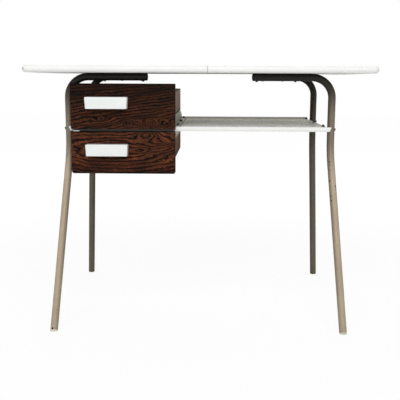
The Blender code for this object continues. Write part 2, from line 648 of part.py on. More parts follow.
def make_handle(node, slide, left, top):
    """Cup handle, narrower below, open below and behind, with a solid bar along its top."""
    right, base = left + HANDLE_WIDTH, top - HANDLE_HEIGHT
    back = FRONT_FACE - SEAT_GAP
    face = back - HANDLE_DEPTH
    outline = [(left + HANDLE_TAPER, base), (right - HANDLE_TAPER, base), (right, top), (left, top)]
    cup = finish_as(node + "handle", plate(node + "handle", outline, face, back, "Y"), HANDLE_PLASTIC, slide)
    bevel(cup, HANDLE_ROUND, HANDLE_SEGMENTS, HANDLE_ANGLE)
    inset = HANDLE_TAPER + HANDLE_WALL
    hollow = block(node + "hollow", (left + inset, face + HANDLE_WALL, base - CUT_OVERSHOOT),
                   (right - inset, back + CUT_OVERSHOOT, top - HANDLE_BAR))
    boolean(cup, as_cutter(node + "hollow", hollow))
    return cup


def make_drawer(level, front_base, front_height, low_corner, handle_drop, box_base, box_height, tongue_top):
    """One drawer: a veneered front, a moulded box, a cup handle and the screws that join them."""
    slide = bpy.data.objects.new(level + "_drawer_slide", None)
    bpy.data.collections["office_desk"].objects.link(slide)
    slide.location = (BOX_MIDDLE, FRONT_FACE, tongue_top)
    bpy.context.view_layer.update()
    node = level + "_drawer_"
    front_top = front_base + front_height
    box_top = box_base + box_height
    handle_left = FRONT_LEFT + HANDLE_LEFT_INSET
    handle_top = front_top - handle_drop

    corners = [low_corner, low_corner, FRONT_CORNER, FRONT_CORNER]
    outline = rounded_outline((FRONT_LEFT, front_base), (FRONT_RIGHT, front_top), corners)
    board_mesh = plate(node + "front", outline, FRONT_FACE, FRONT_BACK, "Y")
    board = finish_as(node + "front", board_mesh, ROSEWOOD, slide)
    box = make_box(node, slide, box_base, box_top, tongue_top)
    handle = make_handle(node, slide, handle_left, handle_top)

    seat = BOX_FRONT + BOX_WALL + SEAT_GAP
    screw_x = BOX_RIGHT - FRONT_SCREW_INSET
    front_spots = {"low": (screw_x, box_base + FRONT_SCREW_LOW),
                   "high": (screw_x, box_top - FRONT_SCREW_HIGH)}
    bar_middle = handle_left + HANDLE_WIDTH / 2
    bar_z = handle_top - HANDLE_BAR / 2
    bar_spots = {name: (bar_middle + side * HANDLE_SCREW_SPREAD / 2, bar_z) for name, side in SIDES}
    front_tip = FRONT_BACK - FRONT_SCREW_BITE
    bar_tip = FRONT_FACE - SEAT_GAP - HANDLE_SCREW_BITE
    for kind, spots, tip, parts in (("front_screw_", front_spots, front_tip, (board, box)),
                                    ("handle_screw_", bar_spots, bar_tip, (board, box, handle))):
        ends = [((x, seat + CUT_OVERSHOOT, z), (x, tip - PILOT_TIP, z)) for x, z in spots.values()]
        holes_mesh = pins(node + kind + "holes", ends, FRONT_SCREW_RADIUS + HOLE_FIT)
        holes = as_cutter(node + kind + "holes", holes_mesh)
        for part in parts:
            boolean(part, holes)
        for spot, (x, z) in spots.items():
            fasten(node + kind + spot, place_along((x, seat, z), (0, 1, 0)), FRONT_SCREW_HEAD_RADIUS,
                   FRONT_SCREW_HEAD_HEIGHT, FRONT_SCREW_RADIUS, seat - tip, ZINC_STEEL, slide)


def main():
    """Build the desk."""
    remove_old_objects()
    new_collection("office_desk")
    new_collection("cutters")
    make_top()
    leg_bolt_holes = make_legs()
    make_shelf(leg_bolt_holes)
    make_runners()
    make_drawer("upper", UPPER_FRONT_BASE, UPPER_FRONT_HEIGHT, FRONT_CORNER, UPPER_HANDLE_DROP,
                UPPER_BOX_BASE, UPPER_BOX_HEIGHT, UPPER_TONGUE_TOP)
    make_drawer("lower", LOWER_FRONT_BASE, LOWER_FRONT_HEIGHT, LOWER_FRONT_CORNER, LOWER_HANDLE_DROP,
                LOWER_BOX_BASE, LOWER_BOX_HEIGHT, LOWER_TONGUE_TOP)


main()
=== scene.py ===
"""Looks of an office desk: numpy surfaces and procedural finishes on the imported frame.

Metres, +Z up. The desk faces -Y, and its drawers are on the sitter's left.
"""
import json
import math

import bmesh
import bpy
import numpy as np
from bpy.props import FloatProperty, FloatVectorProperty, PointerProperty
from mathutils import Matrix, Vector


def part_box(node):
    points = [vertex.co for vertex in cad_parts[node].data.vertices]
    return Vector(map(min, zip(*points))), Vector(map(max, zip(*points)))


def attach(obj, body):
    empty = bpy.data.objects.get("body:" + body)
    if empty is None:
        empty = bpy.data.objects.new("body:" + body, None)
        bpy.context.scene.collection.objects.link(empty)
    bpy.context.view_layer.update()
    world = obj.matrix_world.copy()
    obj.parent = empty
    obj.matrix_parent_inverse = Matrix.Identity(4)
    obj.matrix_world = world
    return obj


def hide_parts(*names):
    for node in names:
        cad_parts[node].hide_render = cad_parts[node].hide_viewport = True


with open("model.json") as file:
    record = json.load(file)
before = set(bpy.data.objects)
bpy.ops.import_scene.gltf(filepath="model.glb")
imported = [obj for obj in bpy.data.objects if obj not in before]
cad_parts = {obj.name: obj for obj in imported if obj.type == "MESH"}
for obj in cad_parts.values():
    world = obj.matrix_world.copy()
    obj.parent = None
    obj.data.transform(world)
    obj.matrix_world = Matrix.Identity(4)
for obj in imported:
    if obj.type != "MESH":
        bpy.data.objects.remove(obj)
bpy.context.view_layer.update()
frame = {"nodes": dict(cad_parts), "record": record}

bl_info = {
    "name": "Office desk looks",
    "version": (1, 0, 0),
    "blender": (4, 5, 0),
    "location": "3D View > Sidebar > Desk",
    "description": "Builds the visible surfaces and finishes of an office desk on its packed frame",
    "category": "Object",
}

SIDES = {"left": -1, "right": 1}
CORNERS = {row + "_" + name: side for row in ("front", "rear") for name, side in SIDES.items()}
LEVELS = ("upper", "lower")
# Gap between neighbouring pieces, gap round a spigot in a tube, and thickness of the shelf
GAP = 0.0003
FIT = 0.0004
SHELF_SHEET = 0.0012
# Points round a tube and the pieces in its ends
TUBE_SIDES = 48
# Direction along none of the axes, from which the circles of plugs and screws start
SKEW = (0.31, 0.53, 0.79)
# Rounding along the edges of sheets and of handles
SHEET_EDGE = 0.0002
HANDLE_EDGE = 0.0005
# Chips in the enamel of the legs: height above the floor, distance right of the tube's middle, and size
CHIPS = {
    "front_right": [(0.485, -0.005, 0.0016), (0.476, -0.005, 0.0014), (0.462, -0.005, 0.0012),
                    (0.430, -0.009, 0.0020), (0.416, 0.007, 0.0017), (0.408, 0.007, 0.0012),
                    (0.388, -0.007, 0.0014), (0.375, -0.007, 0.0015)],
    "front_left": [(0.008, -0.003, 0.0032)],
}


def srgb(red, green, blue):
    """Linear colour of display values from 0 to 255."""
    shown = np.array((red, green, blue)) / 255
    linear = np.where(shown <= 0.04045, shown / 12.92, ((shown + 0.055) / 1.055) ** 2.4)
    return tuple(float(value) for value in linear)


def length(name, description, default, low=0.0):
    """Property for a length in metres."""
    return FloatProperty(name=name, description=description, default=default, min=low, unit="LENGTH")


def angle(name, description, degrees):
    """Property for an angle given in degrees."""
    return FloatProperty(name=name, description=description, default=math.radians(degrees), subtype="ANGLE")


def power(name, description, watts):
    """Property for the power of a lamp."""
    return FloatProperty(name=name, description=description, default=watts, min=0.0, unit="POWER")


def colour(name, description, *display):
    """Property for a colour given in display values."""
    return FloatVectorProperty(name=name, description=description, default=srgb(*display), min=0.0, max=1.0,
                               size=3, subtype="COLOR")


def plug_radius():
    """Radius of the tubes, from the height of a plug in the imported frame."""
    low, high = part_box("tube_plug_front_right")
    return round((high.z - low.z) / 2, 5)


def shelf_height():
    """Height of the shelf's upper face, from the rail below it, the gap between them and the sheet."""
    return round(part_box("side_rail_left")[1].z + GAP + SHELF_SHEET, 5)


class DeskTubes(bpy.types.PropertyGroup):
    """Sizes and colours of the bent tube legs, their plugs and their glides."""

    radius: length("Tube radius", "Outer radius of the leg tubes", plug_radius())
    wall: length("Tube wall", "Thickness of the tube wall", 0.0015)
    leg_x: length("Leg distance", "Distance of the upright runs from the middle", 0.383)
    shoulder: length("Shoulder radius", "Radius of the bend below the worktop", 0.059)
    knee_height: length("Knee height", "Height at which the legs start to splay", shelf_height() - 0.072)
    knee: length("Knee radius", "Radius of the bend at the knee", 0.300)
    splay: length("Leg splay", "How far a foot stands out sideways from its upright run", 0.0355)
    foot_cut: length("Foot cut", "Height of the tube's end above the floor", 0.004)
    paint: colour("Paint", "Enamel of the legs", 193, 176, 152)
    # Colour of the painted shade on the legs' inner sides, above the knees and under the worktop, partly also
    # dirt
    grime_and_shade: colour("Grime", "Dirt inside the legs, above the knees and under the worktop", 36, 34, 29)
    # The rear legs have the same enamel as the front ones; this darker colour is painted shade
    rear: colour("Rear legs", "Darkened enamel of the rear legs", 44, 46, 36)
    bare: colour("Bare steel", "Steel that shows in chips of the enamel", 40, 34, 29)
    bolt: colour("Leg bolts", "Painted heads of the bolts in the legs", 92, 82, 69)
    plug: colour("Plug", "Plastic of the tube plugs", 20, 20, 19)
    glide: colour("Glide", "Plastic of the foot glides", 236, 230, 214)


class DeskTop(bpy.types.PropertyGroup):
    """Sizes and colours of the worktop."""

    corner: length("Corner radius", "Radius of the worktop's corners", 0.015)
    band: length("Band depth", "Depth of the edge band", 0.012)
    nose: length("Nose radius", "Radius of the band's rounded edges", 0.010)
    seam_x: length("Seam place", "Place of the joint in the front band", 0.022, -0.4)
    seam: length("Seam width", "Width of the joint in the front band", 0.0004)
    laminate: colour("Laminate", "White sheet of the worktop", 249, 250, 248)
    aged: colour("Aged laminate", "Tone of the worn patches", 243, 243, 239)
    joint: colour("Joint", "Dirt in the band's joint and in its nick", 120, 116, 108)
    backing: colour("Backing", "Sheet below the worktop", 222, 219, 212)
    board: colour("Board", "Chips of the core board", 176, 142, 98)


class DeskShelf(bpy.types.PropertyGroup):
    """Sizes and colours of the shelf, its rails and the drawer runners."""

    height: length("Shelf height", "Height of the shelf's upper face", shelf_height())
    sheet: length("Shelf sheet", "Thickness of the shelf's sheet", SHELF_SHEET)
    half_width: length("Shelf half width", "Half of the shelf's width between the legs", 0.3697)
    slant: length("Lip slant", "How far the ends of the front lip slant inwards", 0.005)
    rail_sheet: length("Rail sheet", "Thickness of the angle rails", 0.002)
    runner_sheet: length("Runner sheet", "Thickness of the runners", 0.0015)
    tongue: length("Tongue width", "How far the runners' tongues reach in", 0.007)
    slant_run: length("Slant length", "Length of the slanted rear ends of the upper runners", 0.092)
    slant_drop: length("Slant height", "Height of the slanted rear ends of the upper runners", 0.016)
    head: length("Shelf screw head", "Height of the screw heads on the shelf", 0.006)
    enamel: colour("Enamel", "White enamel of the shelf's lip", 249, 250, 248)
    worn: colour("Worn enamel", "Grey enamel of the shelf's worn upper face", 226, 226, 221)
    speckle: colour("Speckle", "Darker specks in the worn enamel", 190, 188, 178)
    # Also the colour of the painted shadow by a runner's foot and of the painted shade on the lip behind the
    # drawer fronts
    rail: colour("Rail", "Enamel of the rails below the shelf, and dirt on the shelf", 44, 41, 38)
    steel: colour("Steel", "Plain steel of the runners", 188, 184, 174)
    screw: colour("Black screws", "Blackened steel of the screws", 12, 12, 12)


class DeskDrawers(bpy.types.PropertyGroup):
    """Sizes and colours of the drawer fronts, boxes and handles."""

    edge: length("Edge radius", "Rounding along the edges of the fronts", 0.0010)
    upper_corner: length("Small corner", "Radius of the sharper corners of the fronts", 0.0015)
    lower_corner: length("Large corner", "Radius of the lowest corners", 0.007)
    handle_corner: length("Handle rounding", "Rounding of the handles", 0.003)
    handle_taper: length("Handle taper", "How much narrower each side of a handle is below", 0.002)
    handle_wall: length("Handle wall", "Thickness of the handles' walls", 0.004)
    handle_bar: length("Handle bar", "Height of the solid bar that takes the handles' screws", 0.0105)
    box_wall: length("Box wall", "Thickness of the boxes' walls", 0.003)
    box_corner: length("Box corner", "Radius of the boxes' rear corners", 0.012)
    box_foot: length("Box foot", "Rounding along the rear bottom edge of the boxes", 0.022)
    groove: length("Groove depth", "Depth of the grooves for the runners' tongues", 0.0065)
    rib: length("Rib depth", "Depth of the ribs inside the boxes, round the grooves", 0.009)
    rim: length("Rim bead", "Height of the bead round the boxes", 0.004)
    heartwood: colour("Heartwood", "Middle brown of the veneer", 100, 57, 36)
    red: colour("Red streaks", "Reddish streaks of the veneer", 132, 72, 45)
    dark: colour("Dark bands", "Dark wood between the streaks", 30, 18, 14)
    line: colour("Figure lines", "Nearly black figure lines of the veneer", 10, 7, 6)
    upper_box: colour("Upper box", "Moulded plastic of the upper drawer's box", 180, 150, 131)
    # The lower box is the same plastic as the upper one; its darker colour is painted shade below the shelf
    lower_box: colour("Lower box", "Darker plastic of the lower drawer's box", 152, 128, 110)
    # Colour of the painted shade on the boxes: low down, under the rim's bead and above each tongue
    painted_box_shade: colour("Grease", "Dirt along the runners' grooves", 34, 28, 22)
    handle: colour("Handle", "White handles", 244, 248, 245)
    zinc: colour("Zinc screws", "Plated screws inside the drawers", 180, 180, 177)


class DeskStage(bpy.types.PropertyGroup):
    """Camera, lamps and floor."""

    camera: FloatVectorProperty(name="Camera place", description="Where the camera stands",
                                default=(0.0435, -2.2819, 0.7245), size=3, subtype="TRANSLATION")
    pitch: angle("Pitch", "How far the camera looks down", 9.734)
    yaw: angle("Yaw", "How far the camera turns to its left", 1.148)
    roll: angle("Roll", "How far the camera leans", 0.239)
    lens: FloatProperty(name="Lens", description="Focal length in millimetres", default=63.915)
    key: power("Key lamp", "Power of the large lamp above the front", 61.0)
    back: power("Back lamp", "Power of the large lamp above the back", 34.0)
    fill: FloatProperty(name="Fill light", description="Strength of the even light from all round",
                        default=0.35, min=0.0, max=1.0, subtype="FACTOR")
    floor: colour("Floor", "Pale floor", 250, 250, 250)


class Socket:
    """Output of a shader node. Arithmetic on it adds Math nodes, and node() adds any other node."""

    def __init__(self, tree, output=None):
        self.tree = tree
        self.output = output

    def node(self, kind, settings=None, inputs=None, outlet=0):
        """Add a node: its type, its settings, the values or links of its sockets, and the output to use."""
        made = self.tree.nodes.new(kind)
        for name, value in (settings or {}).items():
            setattr(made, name, value)
        feed(self.tree, made.inputs, inputs or {})
        return Socket(self.tree, made.outputs[outlet] if made.outputs else None)

    def __add__(self, other):
        return math_node("ADD", self, other)

    def __sub__(self, other):
        return math_node("SUBTRACT", self, other)

    def __rsub__(self, other):
        return math_node("SUBTRACT", other, self)

    def __mul__(self, other):
        return math_node("MULTIPLY", self, other)

    def __abs__(self):
        return math_node("ABSOLUTE", self)

    __radd__ = __add__
    __rmul__ = __mul__


def feed(tree, sockets, values):
    """Set or link sockets of a node by their names or numbers."""
    for key, value in values.items():
        if isinstance(value, Socket):
            tree.links.new(value.output, sockets[key])
        else:
            sockets[key].default_value = value


def math_node(operation, *values):
    """Value of a Math node, of whose values at least one is a socket."""
    known = next(value for value in values if isinstance(value, Socket))
    return known.node("ShaderNodeMath", {"operation": operation}, dict(enumerate(values)))


def smooth(value, low, high):
    """Smooth step of a value from 0 at low to 1 at high."""
    return value.node("ShaderNodeMapRange", {"interpolation_type": "SMOOTHSTEP"},
                      {"Value": value, "From Min": low, "From Max": high})


def fade(value, low, high):
    """Smooth step of a value from 1 at low to 0 at high."""
    return 1.0 - smooth(value, low, high)


def noise(place, scales, detail=2.0, roughness=0.5, shift=(0.0, 0.0, 0.0)):
    """Noise from 0 to 1 with its own number of waves per metre along X, Y and Z, or one number for all."""
    scales = tuple(float(scale) for scale in np.broadcast_to(scales, 3))
    mapped = place.node("ShaderNodeMapping", None, {"Vector": place, "Location": shift, "Scale": scales})
    return place.node("ShaderNodeTexNoise", None,
                      {"Vector": mapped, "Scale": 1.0, "Detail": detail, "Roughness": roughness})


def mix(factor, first, second):
    """Colour between two colours, each a socket or its red, green and blue."""
    first, second = (tone if isinstance(tone, Socket) else (*tone, 1.0) for tone in (first, second))
    return factor.node("ShaderNodeMix", {"data_type": "RGBA"}, {0: factor, 6: first, 7: second}, 2)


def mottled(value, low, high, base, variation):
    """Base colour, darker by up to a share of itself where a value falls from high to low."""
    return mix(smooth(value, low, high), [part * (1 - variation) for part in base], base)


def split(place):
    """The three coordinates of a place."""
    parts = place.node("ShaderNodeSeparateXYZ", None, {0: place}).output.node.outputs
    return [Socket(place.tree, part) for part in parts]


def spot(place, centre, radii):
    """Squared distance from a centre, in shares of a radius along X, Y and Z."""
    scale = tuple(1 / radius for radius in radii)
    shift = tuple(-at / radius for at, radius in zip(centre, radii))
    mapped = place.node("ShaderNodeMapping", None, {"Vector": place, "Location": shift, "Scale": scale})
    return place.node("ShaderNodeVectorMath", {"operation": "DOT_PRODUCT"}, {0: mapped, 1: mapped}, "Value")


def bump(height, strength, distance):
    """Normal of a surface raised by a height from 0 to 1."""
    return height.node("ShaderNodeBump", None, {"Strength": strength, "Distance": distance, "Height": height})


def new_finish(name):
    """New material and the Object coordinates in it."""
    material = bpy.data.materials.new(name)
    material.use_nodes = True
    place = Socket(material.node_tree).node("ShaderNodeTexCoord", outlet="Object")
    return material, place


def set_shader(material, tone, roughness, normal, specular=0.5, metallic=0.0):
    """Give a material's shader its colour, roughness, normal, strength of reflections and share of metal."""
    shader = material.node_tree.nodes["Principled BSDF"]
    feed(material.node_tree, shader.inputs, {"Base Color": tone, "Roughness": roughness, "Normal": normal,
                                             "Specular IOR Level": specular, "Metallic": metallic})
    return material


def unit(vectors):
    """Vectors of length 1."""
    vectors = np.asarray(vectors, float)
    return vectors / np.linalg.norm(vectors, axis=-1, keepdims=True)


def grid_faces(rows, columns, round_rows=False, round_columns=True):
    """Quads between neighbouring points of a grid, which may close on itself either way."""
    row, column = np.meshgrid(np.arange(rows - (not round_rows)), np.arange(columns - (not round_columns)),
                              indexing="ij")
    row_next, column_next = (row + 1) % rows, (column + 1) % columns
    corners = (row * columns + column, row * columns + column_next,
               row_next * columns + column_next, row_next * columns + column)
    return np.stack(corners, -1).reshape(-1, 4).tolist()


def capped_faces(rows, columns):
    """Quads round a grid whose rows close, with a flat face over its first row and its last."""
    ends = [list(range(columns)), list(range((rows - 1) * columns, rows * columns))]
    return grid_faces(rows, columns) + ends


def ring_faces(rows, columns):
    """Quads of a grid that closes both ways."""
    return grid_faces(rows, columns, round_rows=True)


def open_faces(rows, columns):
    """Quads round a grid whose columns close, with a flat face over its first column and its last."""
    ends = np.arange(rows)[None] * columns + np.array([[0], [columns - 1]])
    return grid_faces(rows, columns, round_rows=True, round_columns=False) + ends.tolist()


def add_piece(name, points, material, body, nodes, faces=grid_faces, soft=0.0, sharp=math.radians(40)):
    """Object from a grid of points: welded, facing outwards, smooth, riding on a body for CAD nodes.

    The function faces makes its faces, and its sharp edges are rounded by the width soft.
    """
    mesh = bpy.data.meshes.new(name)
    mesh.from_pydata(points.reshape(-1, 3), [], faces(*points.shape[:2]))
    work = bmesh.new()
    work.from_mesh(mesh)
    bmesh.ops.remove_doubles(work, verts=work.verts, dist=1e-6)
    bmesh.ops.recalc_face_normals(work, faces=work.faces)
    work.to_mesh(mesh)
    work.free()
    mesh.materials.append(material)
    mesh.shade_smooth()
    mesh.set_sharp_from_angle(angle=sharp)
    made = bpy.data.objects.new(name, mesh)
    bpy.context.scene.collection.objects.link(made)
    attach(made, body)
    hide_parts(*nodes)
    if soft:
        step = made.modifiers.new("soft edges", "BEVEL")
        step.width = soft
        step.segments = 2
        step.limit_method = "ANGLE"
        step.angle_limit = math.radians(50)


def dress(node, material):
    """Give a CAD node that stays in view a finish."""
    slots = frame["nodes"][node].data.materials
    slots.clear()
    slots.append(material)


def arc_points(before, corner, after, radius, steps):
    """Arc that rounds a corner: its centre plus two arms blended by the sines of the angles left and gone."""
    back, ahead = unit(before - corner), unit(after - corner)
    half = math.acos(float(np.clip(back @ ahead, -1, 1))) / 2
    centre = corner + unit(back + ahead) * radius / math.sin(half)
    first = corner + back * radius / math.tan(half) - centre
    last = corner + ahead * radius / math.tan(half) - centre
    sweep = math.pi - 2 * half
    gone = np.linspace(0, sweep, steps + 1)[:, None]
    return centre + (first * np.sin(sweep - gone) + last * np.sin(gone)) / math.sin(sweep)


def bent_line(corners, radii, steps):
    """Line from the first corner to the last, with an arc of its own radius at each corner between."""
    corners = np.asarray(corners, float)
    arcs = [arc_points(*corners[i:i + 3], radii[i], steps[i]) for i in range(len(radii))]
    return np.concatenate([corners[:1], *arcs, corners[-1:]])


def line_directions(line):
    """Unit direction at each point of a line: the mean of the runs that meet there."""
    runs = unit(np.diff(line, axis=0))
    return unit(np.concatenate([runs[:1], runs[:-1] + runs[1:], runs[-1:]]))


def circles(along, sides, start=(0.0, 1.0, 0.0)):
    """Unit circles round directions: one arm times the cosine plus another times the sine of each angle.

    The first arm is square to the direction and to the start.
    """
    along = np.atleast_2d(along)
    aside = unit(np.cross(along, start))
    turn = np.linspace(0, math.tau, sides, endpoint=False)[None, :, None]
    return np.cos(turn) * aside[:, None] + np.sin(turn) * np.cross(aside, along)[:, None]


def tube_wall(line, radius, wall):
    """Tube: circles of the outer radius carried along a line, then of the inner radius back along it."""
    ring = circles(line_directions(line), TUBE_SIDES)
    outer = line[:, None] + radius * ring
    inner = line[:, None] + (radius - wall) * ring
    return np.concatenate([outer, inner[::-1]])


def rounded_path(low, high, radii, steps=8):
    """Rectangle with rounded corners, anticlockwise from below left: its points and outward directions."""
    corners = np.array([(low[0], low[1]), (high[0], low[1]), (high[0], high[1]), (low[0], high[1])])
    inwards = np.array([(1, 1), (-1, 1), (-1, -1), (1, -1)])
    radii = np.asarray(radii, float)[:, None]
    turn = math.pi + np.arange(4)[:, None] * math.pi / 2 + np.linspace(0, math.pi / 2, steps + 1)
    out = np.stack([np.cos(turn), np.sin(turn)], -1)
    centres = (corners + inwards * radii)[:, None]
    return (centres + radii[..., None] * out).reshape(-1, 2), out.reshape(-1, 2)


def quarter(steps):
    """Distances of a quarter circle of radius 1 from both sides of the corner that it rounds."""
    turn = np.linspace(0, math.pi / 2, steps)
    return 1 - np.sin(turn), 1 - np.cos(turn)


def nosed_profile(low, high, radius, rim, steps):
    """Section from one level to another as (inset, level).

    A quarter circle stands at each level, and beside it a flat rim that reaches in as far as rim.
    """
    aside, up = radius * np.array(quarter(steps))
    first, last = np.stack([aside, low + up], -1), np.stack([up, high - aside], -1)
    return np.concatenate([[(rim, low)], first, last, [(rim, high)]])


def along_path(path, out, profile, axis):
    """Profile of (inset, level) carried along a flat path: a row for each point, levels along an axis."""
    flat = path - profile[:, None, :1] * out
    return np.insert(flat, axis, np.broadcast_to(profile[:, 1:], flat.shape[:2]), axis=2)


def folded_sheet(corners, sheet, radius, steps, run):
    """Section of a folded sheet: its bent middle line moved half a sheet to each side, out and back.

    No straight part of the line is longer than run.
    """
    flat = np.asarray(corners, float)
    folds = len(flat) - 2
    line = bent_line(np.insert(flat, 1, 0.0, axis=1), [radius] * folds, [steps] * folds)
    gone = np.concatenate([[0.0], np.cumsum(np.linalg.norm(np.diff(line, axis=0), axis=1))])
    stops = np.unique(np.round(np.concatenate([gone, np.arange(0, gone[-1], run)]), 6))
    line = np.stack([np.interp(stops, gone, line[:, axis]) for axis in range(3)], -1)
    side = np.cross(line_directions(line), (0.0, 1.0, 0.0)) * sheet / 2
    return np.concatenate([line + side, (line - side)[::-1]])[:, ::2]


def sheet_faces(stations, section):
    """Faces of a folded sheet carried along a path: quads round it, and a strip of quads over each end."""
    left = np.arange(section // 2 - 1)
    strip = np.stack([left, left + 1, section - 2 - left, section - 1 - left], -1)
    return (grid_faces(stations, section) + strip.tolist()
            + (strip[:, ::-1] + (stations - 1) * section).tolist())


def veneer_figure(place, corner, figure):
    """Height of the growth rings behind the veneer, in lines.

    It is the figure's own slope from a corner of the board, plus slow sways, ripples and rounded eyes.
    """
    x, _, z = split(place)
    sway = noise(place, (3.5, 3.5, 10.0), 1.0, 0.4, (3.1, 0.0, 1.7))
    ripple = noise(place, (20.0, 20.0, 62.0))
    shiver = noise(place, (120.0, 120.0, 330.0), 2.0, 0.6)
    height = figure["slope"](x - corner.x, z - corner.z) * figure["lines"]
    for waves, lines in ((sway, 2.4), (ripple, 1.6), (shiver, 0.7)):
        height = height + (waves - 0.5) * lines
    through = 10.0
    for across, up, wide, high, lines in figure["eyes"]:
        away = spot(place, (corner.x + across, 0.0, corner.z + up), (wide, through, high))
        height = height + math_node("EXPONENT", away * -1.0) * lines
    return height


def veneer_finish(name, wood, board, figure):
    """Rosewood veneer: brown and red streaks and black lines along the rings, with pores and dark edges."""
    material, place = new_finish(name)
    low, high = board
    x, _, z = split(place)
    height = veneer_figure(place, low, figure)
    ringwise = place.node("ShaderNodeCombineXYZ", None, {0: height, 1: x * 7.0, 2: 0.0})
    band = noise(ringwise, (0.45, 1.0, 1.0), 3.0, 0.6)
    blush = noise(ringwise, (0.8, 1.6, 1.0), 3.0, 0.6, (9.0, 4.0, 0.0))
    patch = noise(place, (16.0, 16.0, 60.0), 3.0, 0.6, (7.0, 0.0, 2.0))
    turn = height * math.tau
    lines = (smooth(math_node("COSINE", turn), figure["thin"] - 0.35, figure["thin"] + 0.3)
             * (0.55 + smooth(patch, 0.3, 0.6) * 0.45))
    streaks = 0.35 + smooth(math_node("COSINE", turn * 2.63 + band * 4.0), -0.5, 0.8) * 0.65
    pores = smooth(noise(place, (260.0, 260.0, 2600.0), 2.0, 0.6), 0.56, 0.68)
    warm = mix(smooth(blush, 0.42, 0.66), wood.heartwood, wood.red)
    tone = mix(streaks * (0.25 + smooth(band, 0.32, 0.6) * 0.75), wood.dark, warm)
    tone = mix(math_node("MAXIMUM", lines, pores * 0.45), tone, wood.line)
    # Darker towards the figure lines by the shades: on the upper front the darker top is a painted shadow of
    # the worktop, and the darker middle is partly a darker leaf and partly painted shade
    base, middle, top = figure["shades"]
    shade = (middle + smooth(z, low.z + 0.04, high.z) * (top - middle)
             + fade(z, low.z, low.z + 0.05) * (base - middle))
    tone = mix(shade, tone, wood.line)
    from_side = math_node("MINIMUM", x - low.x, high.x - x)
    from_end = math_node("MINIMUM", z - low.z, high.z - z)
    edge = fade(math_node("MINIMUM", from_side, from_end), 0.0004, 0.0022)
    return set_shader(material, mix(edge * 0.8, tone, wood.line), 0.45 + lines * 0.08 + pores * 0.15,
                      bump(1.0 - pores * 0.7 - lines * 0.3, 0.25, 0.0002), specular=0.05)


def tube_finish(name, tubes, top, marks):
    """Old enamel of the legs: mottled and chipped, with painted shade on their inner sides, above the knees
    and below the top, partly also dirt, and painted shade on the rear legs.
    """
    material, place = new_finish(name)
    x, y, z = split(place)
    mottle = noise(place, (22.0, 22.0, 9.0), 3.0, 0.6)
    streak = noise(place, (240.0, 240.0, 14.0))
    fleck = noise(place, (420.0, 420.0, 230.0))
    level = z + (mottle - 0.5) * 0.04
    # Darker above the knees and just below the top: painted shade of the worktop, partly also dirt
    upright = smooth(level, tubes.knee_height - 0.075, tubes.knee_height + 0.04) * 0.56
    under = smooth(level, top - 0.150, top - 0.010) * 0.44
    below = math_node("MAXIMUM", tubes.knee_height - z, 0.0)
    run = below * (tubes.splay / tubes.knee_height) + tubes.leg_x
    # Painted shade on the inner side of each leg, which faces the shaded space under the desk
    inner = smooth(run - abs(x), 0.0, tubes.radius) * (0.3 + smooth(z, 0.0, 0.45) * 0.3)
    tone = mottled(mottle * 0.7 + streak * 0.3, 0.3, 0.7, tubes.paint, 0.18)
    # Painted shade: the rear legs darker than the front ones
    tone = mix(smooth(y, 0.0, 0.1) * 0.74, tone, tubes.rear)
    tone = mix(inner, tone, tubes.grime_and_shade)
    tone = mix(upright + under, tone, tubes.grime_and_shade)
    worn = smooth(fleck + (mottle - 0.5) * 0.5, 0.74, 0.77)
    deep, tall = 0.006, 1.7
    for mark, size in marks:
        near = spot(place, mark, (size, deep, size * tall)) + (fleck - 0.5) * 1.5
        worn = math_node("MAXIMUM", worn, fade(near, 0.5, 1.0))
    return set_shader(material, mix(worn, tone, tubes.bare), 0.45 + (streak - 0.5) * 0.2 + worn * 0.25,
                      bump(1.0 - worn + streak * 0.1, 0.3, 0.0002), specular=0.18)


def laminate_finish(name, top, gloss, front=None, corner=None):
    """White laminate: aged patches, fine scuffs and a soft grain, with a joint and a nick in an edge."""
    material, place = new_finish(name)
    patch = noise(place, 5.0, 4.0, 0.6)
    scuff = noise(place, (60.0, 900.0, 60.0))
    grain = noise(place, 1400.0)
    tone = mix(smooth(patch, 0.45, 0.75) * 0.5, top.laminate, top.aged)
    if front is not None:
        x, y, _ = split(place)
        joint = fade(abs(x - top.seam_x), 0.0004, 0.0014) * fade(y, front + 0.012, front + 0.013)
        nick = fade(spot(place, corner, (0.003, 0.004, 0.003)), 0.4, 1.0)
        tone = mix(joint * 0.45 + nick * 0.6, tone, top.joint)
    return set_shader(material, tone, 0.36 + smooth(scuff, 0.55, 0.75) * 0.18,
                      bump(grain, 0.08, 0.0001), gloss)


def plastic_finish(name, base, variation, roughness, specular):
    """Moulded plastic or enamel: slightly uneven in tone, with a fine grain and dull patches."""
    material, place = new_finish(name)
    cloud = noise(place, 30.0, 3.0, 0.6)
    grain = noise(place, 1800.0, 1.0)
    return set_shader(material, mottled(cloud, 0.3, 0.7, base, variation), roughness + (cloud - 0.5) * 0.25,
                      bump(grain, 0.12, 0.0001), specular)


def metal_finish(name, base, along, metallic, roughness, variation=0.25, specular=0.5):
    """Rolled or plated steel: fine streaks along one axis and cloudy tarnish."""
    material, place = new_finish(name)
    streak = noise(place, [30.0 if axis == along else 1500.0 for axis in "XYZ"], 2.0, 0.6)
    cloud = noise(place, 45.0, 3.0, 0.6)
    tone = mottled(cloud * 0.6 + streak * 0.4, 0.35, 0.65, base, variation)
    return set_shader(material, tone, roughness + (streak - 0.5) * 0.2 + (cloud - 0.5) * 0.15,
                      bump(streak, 0.1, 0.00005), specular, metallic)


